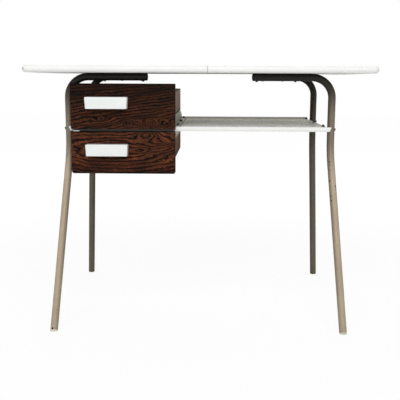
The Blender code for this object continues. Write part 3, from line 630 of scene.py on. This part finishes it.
def shelf_finish(name, shelf, lip, front, foot):
    """White enamel: worn grey and specked on the flat upper face, with a painted shadow line by a runner's
    foot, painted shade along the lip's lower edge and painted shade on the lip behind the drawer fronts.
    """
    material, place = new_finish(name)
    x, y, z = split(place)
    speck = noise(place, 340.0, 3.0, 0.65) * 0.6 + noise(place, (230.0, 32.0, 230.0), 2.0, 0.6) * 0.4
    cloud = noise(place, 16.0, 3.0, 0.6)
    flat = smooth(y, lip.y + 0.0012, lip.y + 0.0045) * fade(z, shelf.height + 0.0002, shelf.height + 0.001)
    specks = smooth(speck + (cloud - 0.5) * 0.12, 0.38, 0.52)
    rearward = 0.5 + smooth(y, lip.y + 0.06, lip.y + 0.2) * 0.5
    grey = mix(specks * rearward, shelf.worn, shelf.speckle)
    # Painted shadow: a dark line on the shelf beside the edge of the right runner's foot
    grey = mix(fade(abs(x - foot), 0.001, 0.003) * 0.8, grey, shelf.rail)
    # Painted shade: the lip turns greyer towards its lower edge
    white = mix(fade(z, lip.z + 0.002, lip.z + 0.008) * 0.5 + specks * 0.05, shelf.enamel, shelf.worn)
    # Painted shade: between the ends of the drawer fronts the lip, which lies behind them, is darker
    behind = smooth(x, front[0].x, front[0].x + 0.008) * fade(x, front[1].x - 0.004, front[1].x)
    white = mix(behind * 0.6, white, shelf.rail)
    return set_shader(material, mix(flat, white, grey), 0.28 + specks * flat * 0.2,
                      bump(speck, 0.1, 0.0001), specular=0.006)


def board_finish(name, top):
    """Raw chipboard: pale and dark chips pressed together."""
    material, place = new_finish(name)
    chips = place.node("ShaderNodeTexVoronoi", {"feature": "F1"}, {"Vector": place, "Scale": 420.0}, "Color")
    pick, _, _ = split(chips)
    darker = [part * 0.55 for part in top.board]
    return set_shader(material, mix(pick, top.board, darker), 0.9, bump(pick, 0.5, 0.0005))


def box_finish(name, base, painted_box_shade, tongue, low, high, gloss):
    """Moulded plastic: scuffed, with painted shade low down, most on the outer sides, and painted shadow
    lines under the rim and outside above each tongue.
    """
    material, place = new_finish(name)
    x, y, z = split(place)
    cloud = noise(place, 28.0, 3.0, 0.6)
    scrape = noise(place, (700.0, 12.0, 700.0), 2.0, 0.6)
    grain = noise(place, 1800.0, 1.0)
    tone = mottled(cloud * 0.6 + scrape * 0.4, 0.35, 0.65, base, 0.16)
    middle, half = (low.x + high.x) / 2, (high.x - low.x) / 2
    outer = smooth(abs(x - middle), half - 0.003, half - 0.001)
    # Painted shade: darker low down, most on the outer sides
    painted_low_shade = fade(z - y * 0.08, low.z - 0.02, high.z)
    tone = mix(painted_low_shade * (0.15 + outer * 0.47), tone, painted_box_shade)
    # Painted shadow lines: outside just above each tongue, and all round just under the rim's bead
    above = abs(z - tongue - 0.0025) + (cloud - 0.5) * 0.001
    below = abs(z - high.z + 0.0026)
    line = math_node("MAXIMUM", fade(below, 0.001, 0.0025), fade(above, 0.002, 0.0045) * outer)
    return set_shader(material, mix(line * 0.85, tone, painted_box_shade), 0.55 + (cloud - 0.5) * 0.25,
                      bump(grain, 0.12, 0.0001), gloss)


class DeskWorktop(bpy.types.Operator):
    """Bullnosed edge band, and finishes for the laminate, the backing and the core"""

    bl_idname = "desk.worktop"
    bl_label = "Worktop"

    def execute(self, context):
        top = context.scene.desk_top
        low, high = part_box("edge_band")
        flat_gloss, edge_gloss = 0.04, 0.3
        nick = (low.x + 0.0064, low.y + 0.003, high.z - 0.010)
        edge = laminate_finish("white_edge", top, edge_gloss, low.y, nick)
        profile = nosed_profile(low.z, high.z, top.nose, top.band, steps=9)
        points = along_path(*seamed_path(low, high, top), profile, 2).swapaxes(0, 1)
        add_piece("worktop_edge", points, edge, "frame", ["edge_band"], capped_faces)
        dress("top_laminate", laminate_finish("white_laminate", top, flat_gloss))
        dress("top_backing", plastic_finish("backing_sheet", top.backing, variation=0.2, roughness=0.7,
                                            specular=0.2))
        dress("top_core", board_finish("chipboard", top))
        return {"FINISHED"}


def seamed_path(low, high, top):
    """Outline of the top that starts and ends at the seam: a rounded rectangle cut in its front edge."""
    path, out = rounded_path(low.xy, high.xy, [top.corner] * 4, steps=10)
    turn = len(path) // 4
    path, out = np.roll(path, -turn, axis=0), np.roll(out, -turn, axis=0)
    seam = np.array([(top.seam_x + top.seam / 2, low.y), (top.seam_x - top.seam / 2, low.y)])
    forward = np.array([(0.0, -1.0)])
    return np.concatenate([seam[:1], path, seam[1:]]), np.concatenate([forward, out, forward])


class DeskLegs(bpy.types.Operator):
    """Four bent tubes with domed plugs in their inner ends and glides under their feet"""

    bl_idname = "desk.legs"
    bl_label = "Legs"

    def execute(self, context):
        tubes = context.scene.desk_tubes
        black = plastic_finish("plug_plastic", tubes.plug, variation=0.3, roughness=0.5, specular=0.25)
        cream = plastic_finish("glide_plastic", tubes.glide, variation=0.2, roughness=0.5, specular=0.3)
        feet = {mount["name"]: np.array(mount["pos_m"]) for mount in frame["record"]["mounts"]}
        lines = {corner: leg_line(tubes, corner, side, feet["foot_" + corner])
                 for corner, side in CORNERS.items()}
        marks = [(chip_place(lines[corner], tubes.radius, height, aside), size)
                 for corner, chips in CHIPS.items() for height, aside, size in chips]
        paint = tube_finish("leg_enamel", tubes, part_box("tube_plug_front_right")[1].z, marks)
        for corner, line in lines.items():
            tube = tube_wall(line, tubes.radius, tubes.wall)
            add_piece("tube_" + corner, tube, paint, "frame", ["leg_" + corner], ring_faces)
            plug = plug_points(tubes, line[0], (-CORNERS[corner], 0.0, 0.0))
            add_piece("plug_" + corner, plug, black, "frame", ["tube_plug_" + corner])
            glide = glide_points(tubes, line)
            add_piece("glide_" + corner, glide, cream, "frame", ["foot_glide_" + corner])
        return {"FINISHED"}


def chip_place(line, radius, height, aside):
    """Point on the front of a leg: its line at a height, moved aside and out to the face of the tube."""
    x, y = (np.interp(height, line[::-1, 2], line[::-1, axis]) for axis in range(2))
    return (x + aside, y - math.sqrt(radius ** 2 - aside ** 2), height)


def leg_line(tubes, corner, side, foot):
    """Middle line of a leg: along below the top, round the shoulder, down, and out from the knee."""
    low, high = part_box("tube_plug_" + corner)
    start = np.array((low + high) / 2)
    leg_low, leg_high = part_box("leg_" + corner)
    start[0] = leg_low.x if side > 0 else leg_high.x
    shoulder = np.array((side * tubes.leg_x, start[1], start[2]))
    knee = np.array((side * tubes.leg_x, start[1], tubes.knee_height))
    end = foot + (knee - foot) * tubes.foot_cut / tubes.knee_height
    return bent_line([start, shoulder, knee, end], [tubes.shoulder, tubes.knee], steps=[28, 14])


def plug_points(tubes, end, axis):
    """Plug: the profile of an elliptic dome as wide as the tube, and of a spigot, carried round an axis."""
    dome, depth = 0.004, 0.007
    turn = np.linspace(0, math.pi / 2, 9)
    spigot = tubes.radius - tubes.wall - FIT
    profile = np.concatenate([np.stack([tubes.radius * np.sin(turn), GAP + dome * np.cos(turn)], -1),
                              [(spigot, GAP), (spigot, -depth), (0.0, -depth)]])[:, :, None, None]
    return end + profile[:, 0] * circles(axis, TUBE_SIDES, SKEW) + profile[:, 1] * np.array(axis)


def glide_points(tubes, line):
    """Glide: rings about the leg's line, each point moved along it by a share of its way to the floor."""
    depth = 0.020
    along = unit(line[-1] - line[-2])
    ring = tubes.radius * circles(along, TUBE_SIDES)
    spigot = (tubes.radius - tubes.wall - FIT) / tubes.radius
    inside = np.array([(0.0, -depth), (spigot, -depth), (spigot, GAP), (1.0, GAP)])[:, :, None, None]
    upper = line[-1] + inside[:, 0] * ring + inside[:, 1] * along
    wide_share = np.array([(1.0, 0.55), (1.0, 0.8), (0.985, 0.93), (0.95, 1.0), (0.6, 1.0), (0.0, 1.0)])
    foot = line[-1] + wide_share[:, :1, None] * ring
    way = foot[..., 2:] / -along[2]
    lower = foot + wide_share[:, 1:, None] * way * along
    return np.concatenate([upper, lower])


class DeskShelfSheets(bpy.types.Operator):
    """Folded shelf with its front lip, the angle rails below it and the four drawer runners"""

    bl_idname = "desk.shelf_sheets"
    bl_label = "Shelf, rails and runners"

    def execute(self, context):
        shelf = context.scene.desk_shelf
        add_shelf(shelf)
        rail_paint = plastic_finish("rail_enamel", shelf.rail, variation=0.25, roughness=0.45, specular=0.3)
        steel = metal_finish("runner_steel", shelf.steel, "Y", metallic=0.0, roughness=0.38, specular=0.012)
        for name, side in SIDES.items():
            add_rail(name, side, shelf, rail_paint)
            for level in LEVELS:
                add_runner(level, name, side, shelf, steel)
        return {"FINISHED"}


def add_shelf(shelf):
    """Shelf: a folded section from the rear upstand to the lip, each point as wide as its part of it."""
    low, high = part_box("shelf_pan")
    enamel = shelf_finish("shelf_enamel", shelf, low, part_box("lower_drawer_front"),
                          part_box("upper_runner_right")[1].x)
    half = shelf.sheet / 2
    middle = shelf.height - half
    rear, front = high.y - half, low.y + half
    corners = [(rear, high.z), (rear, middle), (front, middle), (front, low.z)]
    section = folded_sheet(corners, shelf.sheet, radius=shelf.sheet * 0.75, steps=6, run=0.05)
    lip_end = low.y + 1.2 * shelf.sheet
    drop = np.clip((shelf.height - section[:, 1]) / (shelf.height - low.z), 0, 1)
    widths = np.where(section[:, 0] < lip_end, high.x - shelf.slant * drop, shelf.half_width)
    stations = np.array([-1.0, -0.98, 0.98, 1.0])
    x = stations[:, None] * widths
    points = np.stack(np.broadcast_arrays(x, *section.T), -1)
    add_piece("shelf_sheet", points, enamel, "frame", ["shelf_pan"], sheet_faces, SHEET_EDGE)


def add_folded(name, corners, sheet, ends, material, node, slant=(0.0, 1.0)):
    """Folded sheet in X and Z carried along Y, with a slant of a length and a height cut off its rear top."""
    section = folded_sheet(corners, sheet, radius=sheet * 0.9, steps=5, run=0.002)
    run, drop = slant
    cut = run * np.clip((section[:, 1] - section[:, 1].max() + drop) / drop, 0, 1)
    y = np.stack([np.full(len(section), ends[0]), ends[1] - cut])
    points = np.stack(np.broadcast_arrays(section[:, 0], y, section[:, 1]), -1)
    add_piece(name, points, material, "frame", [node], sheet_faces, SHEET_EDGE)


def add_rail(name, side, shelf, material):
    """Angle rail: a flange below the shelf, and one that hangs down from its outer edge."""
    node = "side_rail_" + name
    low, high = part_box(node)
    half = shelf.rail_sheet / 2
    outer, inner = (high.x, low.x) if side > 0 else (low.x, high.x)
    web_x = outer - side * half
    corners = [(inner, high.z - half), (web_x, high.z - half), (web_x, low.z)]
    add_folded("rail_" + name, corners, shelf.rail_sheet, (low.y, high.y), material, node)


def add_runner(level, name, side, shelf, material):
    """Runner: a foot at the shelf, a web beside the drawer and a tongue that reaches into its groove."""
    node = level + "_runner_" + name
    low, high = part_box(node)
    half = shelf.runner_sheet / 2
    foot_x, tip_x = (high.x, low.x) if side > 0 else (low.x, high.x)
    web_x = tip_x + side * (shelf.tongue + half)
    foot_z, tongue_z, slant = low.z + half, high.z - half, (shelf.slant_run, shelf.slant_drop)
    if level == "lower":
        foot_z, tongue_z, slant = high.z - half, low.z + half, (0.0, 1.0)
    corners = [(foot_x, foot_z), (web_x, foot_z), (web_x, tongue_z), (tip_x, tongue_z)]
    add_folded("runner_" + level + "_" + name, corners, shelf.runner_sheet, (low.y, high.y), material,
               node, slant)


class DeskScrews(bpy.types.Operator):
    """Every screw and bolt, with a domed head and a cross recess"""

    bl_idname = "desk.screws"
    bl_label = "Screws and bolts"

    def execute(self, context):
        shelf = context.scene.desk_shelf
        black = metal_finish("black_steel", shelf.screw, "Z", metallic=0.0, roughness=0.42, variation=0.4)
        zinc = metal_finish("zinc_steel", context.scene.desk_drawers.zinc, "Z", metallic=0.85, roughness=0.35)
        painted = plastic_finish("bolt_enamel", context.scene.desk_tubes.bolt, variation=0.3, roughness=0.5,
                                 specular=0.2)
        for corner, side in CORNERS.items():
            add_screw("leg_bolt_" + corner, (side, 0, 0), painted)
            for place in ("inner", "outer"):
                add_screw("top_screw_" + corner + "_" + place, (0, 0, -1), black)
        for place in ("front", "middle", "rear"):
            for kind in ("shelf_screw_", "runner_screw_left_", "runner_screw_right_"):
                add_screw(kind + place, (0, 0, 1), black, head=shelf.head)
        for level in LEVELS:
            body = level + "_drawer"
            for kind in ("front_screw_low", "front_screw_high", "handle_screw_left", "handle_screw_right"):
                add_screw(body + "_" + kind, (0, 1, 0), zinc, body)
        return {"FINISHED"}


def add_screw(node, axis, material, body="frame", head=None):
    """Screw: a flattened dome less a cross of two slots, above a straight shank with a pointed end.

    Its sizes are shares of the head's radius. The slots have steep sides and ends.
    """
    head_share, recess_share, shank_share, flatness = 0.62, 0.34, 0.48, 2.6
    low, high = (np.array(corner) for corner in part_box(node))
    axis = np.array(axis, float)
    lengthwise = np.abs(axis) > 0.5
    whole, radius = (high - low)[lengthwise][0], (high - low)[~lengthwise].max() / 2
    rise = radius * head_share if head is None else head
    reach = np.concatenate([np.linspace(0, 0.66, 15), (0.78, 0.88, 0.95, 0.985, 1.0)])[:, None]
    turn = np.linspace(0, math.tau, 64, endpoint=False)
    across, up = np.abs(reach * np.cos(turn)), np.abs(reach * np.sin(turn))
    slot_side, slot_end = (0.11, 0.16), (0.5, 0.591)
    narrow_x, narrow_y = (np.interp(way, slot_side, (1, 0)) for way in (across, up))
    long_x, long_y = (np.interp(way, slot_end, (1, 0)) for way in (across, up))
    recess = np.maximum(narrow_x * long_y, narrow_y * long_x) * radius * recess_share
    dome = rise * (1 - reach ** flatness) ** 0.5 - recess
    shank = radius * shank_share
    stem = np.array([(shank, 0.0), (shank, rise - whole + shank), (0.0, rise - whole)])
    wide = np.concatenate([reach * radius, stem[:, :1]])[..., None]
    height = np.concatenate([dome, np.broadcast_to(stem[:, 1:], (len(stem), len(turn)))])[..., None]
    seat = (low + high) / 2 + axis * (whole / 2 - rise)
    points = seat + wide * circles(axis, len(turn), SKEW) + height * axis
    add_piece("head_" + node, points, material, body, [node], sharp=math.radians(30))


def fan(across, up):
    """Grain that rises to the right, and less steeply towards the top of the board."""
    return up - across * (0.23 - up * 1.05)


def lens(across, up):
    """Rings round a long lens: the distance from its middle, in which the width counts far less."""
    middle_across, middle_up, stretch = 0.117, 0.068, 4.5
    side, level = (across - middle_across) * (1 / stretch), up - middle_up
    return math_node("SQRT", side * side + level * level)


# Figure of each front: slope, lines per metre of it, thinness of the lines, shades at the foot, in the middle
# and at the top, and eyes by their place across and up, half width, half height and lines
FIGURES = {
    # Upper front: the shade at the top is a painted shadow of the worktop, the middle one partly a darker
    # leaf and partly painted shade
    "upper": {"slope": fan, "lines": 100.0, "thin": 0.05, "shades": (0.06, 0.34, 0.74), "eyes": [
        (0.089, 0.028, 0.015, 0.007, 2.0), (0.213, 0.011, 0.012, 0.011, 3.2),
        (0.232, 0.013, 0.008, 0.013, -2.0), (0.251, 0.013, 0.010, 0.012, 2.6),
        (0.280, 0.011, 0.011, 0.013, 2.8), (0.165, 0.020, 0.017, 0.007, -2.4)]},
    "lower": {"slope": lens, "lines": 116.0, "thin": 0.35, "shades": (0.52, 0.0, 0.04), "eyes": [
        (0.220, 0.117, 0.030, 0.014, -3.6), (0.205, 0.069, 0.022, 0.009, -1.6),
        (0.275, 0.076, 0.040, 0.010, -1.8)]},
}


class DeskFronts(bpy.types.Operator):
    """Veneered drawer fronts with softened edges"""

    bl_idname = "desk.fronts"
    bl_label = "Drawer fronts"

    def execute(self, context):
        drawers = context.scene.desk_drawers
        for level in LEVELS:
            node = level + "_drawer_front"
            low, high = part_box(node)
            veneer = veneer_finish("rosewood_" + level, drawers, (low, high), FIGURES[level])
            large = drawers.lower_corner if level == "lower" else drawers.upper_corner
            corners = [large, large, drawers.upper_corner, drawers.upper_corner]
            path, out = rounded_path((low.x, low.z), (high.x, high.z), corners)
            profile = nosed_profile(low.y, high.y, drawers.edge, drawers.edge * 1.35, steps=5)
            points = along_path(path, out, profile, 1)
            add_piece("front_" + level, points, veneer, level + "_drawer", [node],
                      capped_faces)
        return {"FINISHED"}


class DeskBoxes(bpy.types.Operator):
    """Moulded drawer boxes with grooved sides and rounded rears, and a bead round the rim of each"""

    bl_idname = "desk.boxes"
    bl_label = "Drawer boxes"

    def execute(self, context):
        drawers, sheet = context.scene.desk_drawers, context.scene.desk_shelf.runner_sheet
        glosses = {"upper": 0.018, "lower": 0.0}
        for level in LEVELS:
            body, node = level + "_drawer", level + "_drawer_box"
            low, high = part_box(node)
            runner_low, runner_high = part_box(level + "_runner_right")
            tongue = runner_high.z if level == "upper" else runner_low.z + sheet
            # The lower box takes the darker copy of the plastic, as painted shade
            plastic = box_finish("box_plastic_" + level, getattr(drawers, level + "_box"), drawers.painted_box_shade,
                                 tongue, low, high, glosses[level])
            tray = tray_points(low, high, tongue, drawers)
            add_piece("tray_" + level, tray, plastic, body, [node], capped_faces)
            bead = bead_points(low, high, drawers)
            add_piece("rim_" + level, bead, plastic, body, [], ring_faces)
        return {"FINISHED"}


def tray_points(low, high, tongue, drawers):
    """Tray: rounded rectangles carried up the outside, over the rim and down the inside.

    Each ring has insets at its rear and at its other sides, a cut off its left and right and a height. The
    cuts make the grooves outside and the ribs inside.
    """
    below, cover = 0.0022, 0.0025
    wall, foot, groove, rib = drawers.box_wall, drawers.box_foot, drawers.groove, drawers.rib
    base, top = tongue - below, tongue + GAP
    aside, up = quarter(7)
    outside = np.stack([foot * aside, 0 * up, 0 * up, low.z + foot * up], -1)
    inside = np.stack([wall + (foot - wall) * aside, wall + 0 * up, 0 * up,
                       low.z + wall + (foot - wall) * up], -1)
    slot = [(0, 0, 0, base), (0, 0, groove, base), (0, 0, groove, top), (0, 0, 0, top), (0, 0, 0, high.z)]
    base, top = base - cover, top + cover
    ridge = [(wall, wall, 0, high.z), (wall, wall, 0, top), (wall, wall, rib, top), (wall, wall, rib, base),
             (wall, wall, 0, base)]
    rings = []
    for rear, inset, cut, height in np.concatenate([outside, slot, ridge, inside[::-1]]):
        bend = drawers.box_corner - inset
        path, _ = rounded_path((low.x + inset, low.y + inset), (high.x - inset, high.y - rear),
                               (0.0, 0.0, bend, bend))
        path[:, 0] = np.clip(path[:, 0], low.x + cut, high.x - cut)
        rings.append(np.insert(path, 2, height, axis=1))
    return np.stack(rings)


def bead_points(low, high, drawers):
    """Bead: an ellipse carried round the rim of a box."""
    front_corner, middle, half = 0.004, 0.0013, 0.0019
    corners = [front_corner, front_corner, drawers.box_corner, drawers.box_corner]
    turn = np.linspace(0, math.tau, 16, endpoint=False)
    ellipse = np.stack([middle - half * np.cos(turn), high.z - drawers.rim / 2 * (1 - np.sin(turn))], -1)
    return along_path(*rounded_path(low.xy, high.xy, corners), ellipse, 2)


class DeskHandles(bpy.types.Operator):
    """White cup handles, open below and behind"""

    bl_idname = "desk.handles"
    bl_label = "Handles"

    def execute(self, context):
        drawers = context.scene.desk_drawers
        white = plastic_finish("white_plastic", drawers.handle, variation=0.03, roughness=0.4, specular=0.35)
        for level in LEVELS:
            node = level + "_drawer_handle"
            points = cup_points(*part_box(node), drawers)
            add_piece("cup_" + level, points, white, level + "_drawer", [node], open_faces,
                      HANDLE_EDGE)
        return {"FINISHED"}


def cup_points(low, high, drawers):
    """Cup: a U of left side, front and right side carried along a section, each row inset from the outside.

    The section runs along the ceiling to the inner wall, down it, round the rim, up the outside, over a
    rounded edge and along the top to the back.
    """
    radius, wall, ceiling = drawers.handle_corner, drawers.handle_wall, high.z - drawers.handle_bar
    aside, up = quarter(8)
    deep = high.y - low.y
    inset = np.concatenate([[deep, deep / 2, wall, wall], np.zeros(4), radius * up,
                            np.array([1.15, 2.0]) * radius, np.linspace(0.5, 1.0, 4) * deep])[:, None]
    rise = np.concatenate([[ceiling] * 3, [low.z], np.linspace(low.z, high.z - radius, 5)[:4],
                           high.z - radius * aside, np.full(6, high.z)])[:, None]
    narrow = drawers.handle_taper * (high.z - rise) / (high.z - low.z)
    left, right = low.x + narrow + inset, high.x - narrow - inset
    front = low.y + inset
    bend = np.maximum(radius - inset, 0.0)
    way = np.linspace(0, 1, 6)[None]
    sides = high.y + (front + bend - high.y) * way
    near_left = [left + bend * up, front + bend * aside]
    near_right = [right - bend * aside, front + bend * up]
    straight = left + bend + (right - left - 2 * bend) * way
    x = np.concatenate([left + 0 * way, near_left[0], straight, near_right[0], right + 0 * way], 1)
    y = np.concatenate([sides, near_left[1], front + 0 * way, near_right[1], sides[:, ::-1]], 1)
    return np.stack([x, y, np.broadcast_to(rise, x.shape)], -1)


class DeskSet(bpy.types.Operator):
    """Camera at the photograph's angle, two soft lamps, even light and a pale floor"""

    bl_idname = "desk.stage"
    bl_label = "Stage"

    def execute(self, context):
        scene, stage = context.scene, context.scene.desk_stage
        scene.view_settings.view_transform = "Standard"
        camera = bpy.data.objects.new("camera", bpy.data.cameras.new("camera"))
        scene.collection.objects.link(camera)
        camera.data.lens = stage.lens
        camera.data.sensor_width = 36.0
        camera.matrix_world = (Matrix.Translation(stage.camera) @ Matrix.Rotation(stage.yaw, 4, "Z")
                               @ Matrix.Rotation(math.pi / 2 - stage.pitch, 4, "X")
                               @ Matrix.Rotation(stage.roll, 4, "Z"))
        scene.camera = camera
        key_place, back_place = Vector((-0.1, -2.5, 2.43)), Vector((0.1, 2.5, 2.43))
        add_lamp(scene, "key", stage.key, key_place)
        add_lamp(scene, "back", stage.back, back_place)
        light_world(scene, stage.fill)
        add_floor(scene, stage.floor)
        return {"FINISHED"}


def add_lamp(scene, name, watts, place):
    """Large soft lamp at a place, aimed at the middle of the desk."""
    lamp = bpy.data.lights.new(name, "AREA")
    lamp.shape = "RECTANGLE"
    lamp.size, lamp.size_y = 3.0, 2.6
    lamp.energy = watts
    made = bpy.data.objects.new(name, lamp)
    scene.collection.objects.link(made)
    middle = Vector((0.0, 0.0, 0.4))
    aim = (middle - place).to_track_quat("-Z", "Y").to_matrix().to_4x4()
    made.matrix_world = Matrix.Translation(place) @ aim


def seen(start):
    """1 for rays from the camera, reflections and glass, and 0 for light."""
    path = start.node("ShaderNodeLightPath").output.node.outputs
    camera, glossy, through = (Socket(start.tree, path["Is " + kind + " Ray"])
                               for kind in ("Camera", "Glossy", "Transmission"))
    return math_node("MAXIMUM", math_node("MAXIMUM", camera, glossy), through)


def empty_tree(owner):
    """Start of a material or world whose nodes are cleared."""
    owner.use_nodes = True
    owner.node_tree.nodes.clear()
    return Socket(owner.node_tree)


def light_world(scene, fill):
    """Even light of one strength, and white where it is seen."""
    scene.world = bpy.data.worlds.new("studio")
    start = empty_tree(scene.world)
    dim, white = (start.node("ShaderNodeBackground", None, {"Color": (1, 1, 1, 1), "Strength": strength})
                  for strength in (fill, 1.0))
    both = start.node("ShaderNodeMixShader", None, {0: seen(start), 1: dim, 2: white})
    start.node("ShaderNodeOutputWorld", None, {"Surface": both})


def add_floor(scene, tone):
    """Flat floor: a 2 by 2 grid of points at height 0.

    Where it is seen it glows, less near the desk than far from it, and takes up a share of the light.
    """
    half, taken, glows, reach = 12.0, 0.14, (0.885, 0.945), (0.8, 3.2)
    way = np.array([-half, half])
    points = np.stack(np.broadcast_arrays(way[:, None], way[None], np.zeros((2, 2))), -1)
    mesh = bpy.data.meshes.new("floor")
    mesh.from_pydata(points.reshape(-1, 3), [], grid_faces(2, 2, round_columns=False))
    floor = bpy.data.objects.new("floor", mesh)
    scene.collection.objects.link(floor)
    material = bpy.data.materials.new("floor")
    start = empty_tree(material)
    dull = start.node("ShaderNodeBsdfDiffuse", None, {"Color": (0.9, 0.9, 0.9, 1)})
    pale = start.node("ShaderNodeBsdfDiffuse", None, {"Color": (*(taken * part for part in tone), 1)})
    near, far = (start.node("ShaderNodeEmission", None, {"Color": (1, 1, 1, 1), "Strength": glow})
                 for glow in glows)
    place = start.node("ShaderNodeTexCoord", outlet="Object")
    spread = start.node("ShaderNodeVectorMath", {"operation": "LENGTH"}, {0: place}, "Value")
    glow = start.node("ShaderNodeMixShader", None, {0: smooth(spread, *reach), 1: near, 2: far})
    bright = start.node("ShaderNodeAddShader", None, {0: pale, 1: glow})
    both = start.node("ShaderNodeMixShader", None, {0: seen(start), 1: dull, 2: bright})
    start.node("ShaderNodeOutputMaterial", None, {"Surface": both})
    mesh.materials.append(material)


PARTS = (DeskSet, DeskWorktop, DeskLegs, DeskShelfSheets, DeskScrews, DeskFronts, DeskBoxes, DeskHandles)
SETTINGS = {"desk_tubes": DeskTubes, "desk_top": DeskTop, "desk_shelf": DeskShelf,
            "desk_drawers": DeskDrawers, "desk_stage": DeskStage}


class DeskPanel(bpy.types.Panel):
    """Buttons for the parts of the desk, with their sizes and colours."""

    bl_idname = "VIEW3D_PT_desk"
    bl_label = "Office desk"
    bl_space_type = "VIEW_3D"
    bl_region_type = "UI"
    bl_category = "Desk"

    def draw(self, context):
        for part in PARTS:
            self.layout.operator(part.bl_idname)
        for name in SETTINGS:
            group = getattr(context.scene, name)
            box = self.layout.box()
            for setting in group.__annotations__:
                box.prop(group, setting)


def register():
    """Add the settings, operators and panel to Blender."""
    for name, group in SETTINGS.items():
        bpy.utils.register_class(group)
        setattr(bpy.types.Scene, name, PointerProperty(type=group))
    for part in (*PARTS, DeskPanel):
        bpy.utils.register_class(part)


def unregister():
    """Take the settings, operators and panel out again."""
    for part in reversed((*PARTS, DeskPanel)):
        bpy.utils.unregister_class(part)
    for name, group in SETTINGS.items():
        delattr(bpy.types.Scene, name)
        bpy.utils.unregister_class(group)


def main():
    """Build the desk's looks."""
    register()
    bpy.ops.desk.stage()
    bpy.ops.desk.worktop()
    bpy.ops.desk.legs()
    bpy.ops.desk.shelf_sheets()
    bpy.ops.desk.screws()
    bpy.ops.desk.fronts()
    bpy.ops.desk.boxes()
    bpy.ops.desk.handles()


if __name__ == "__main__":
    main()
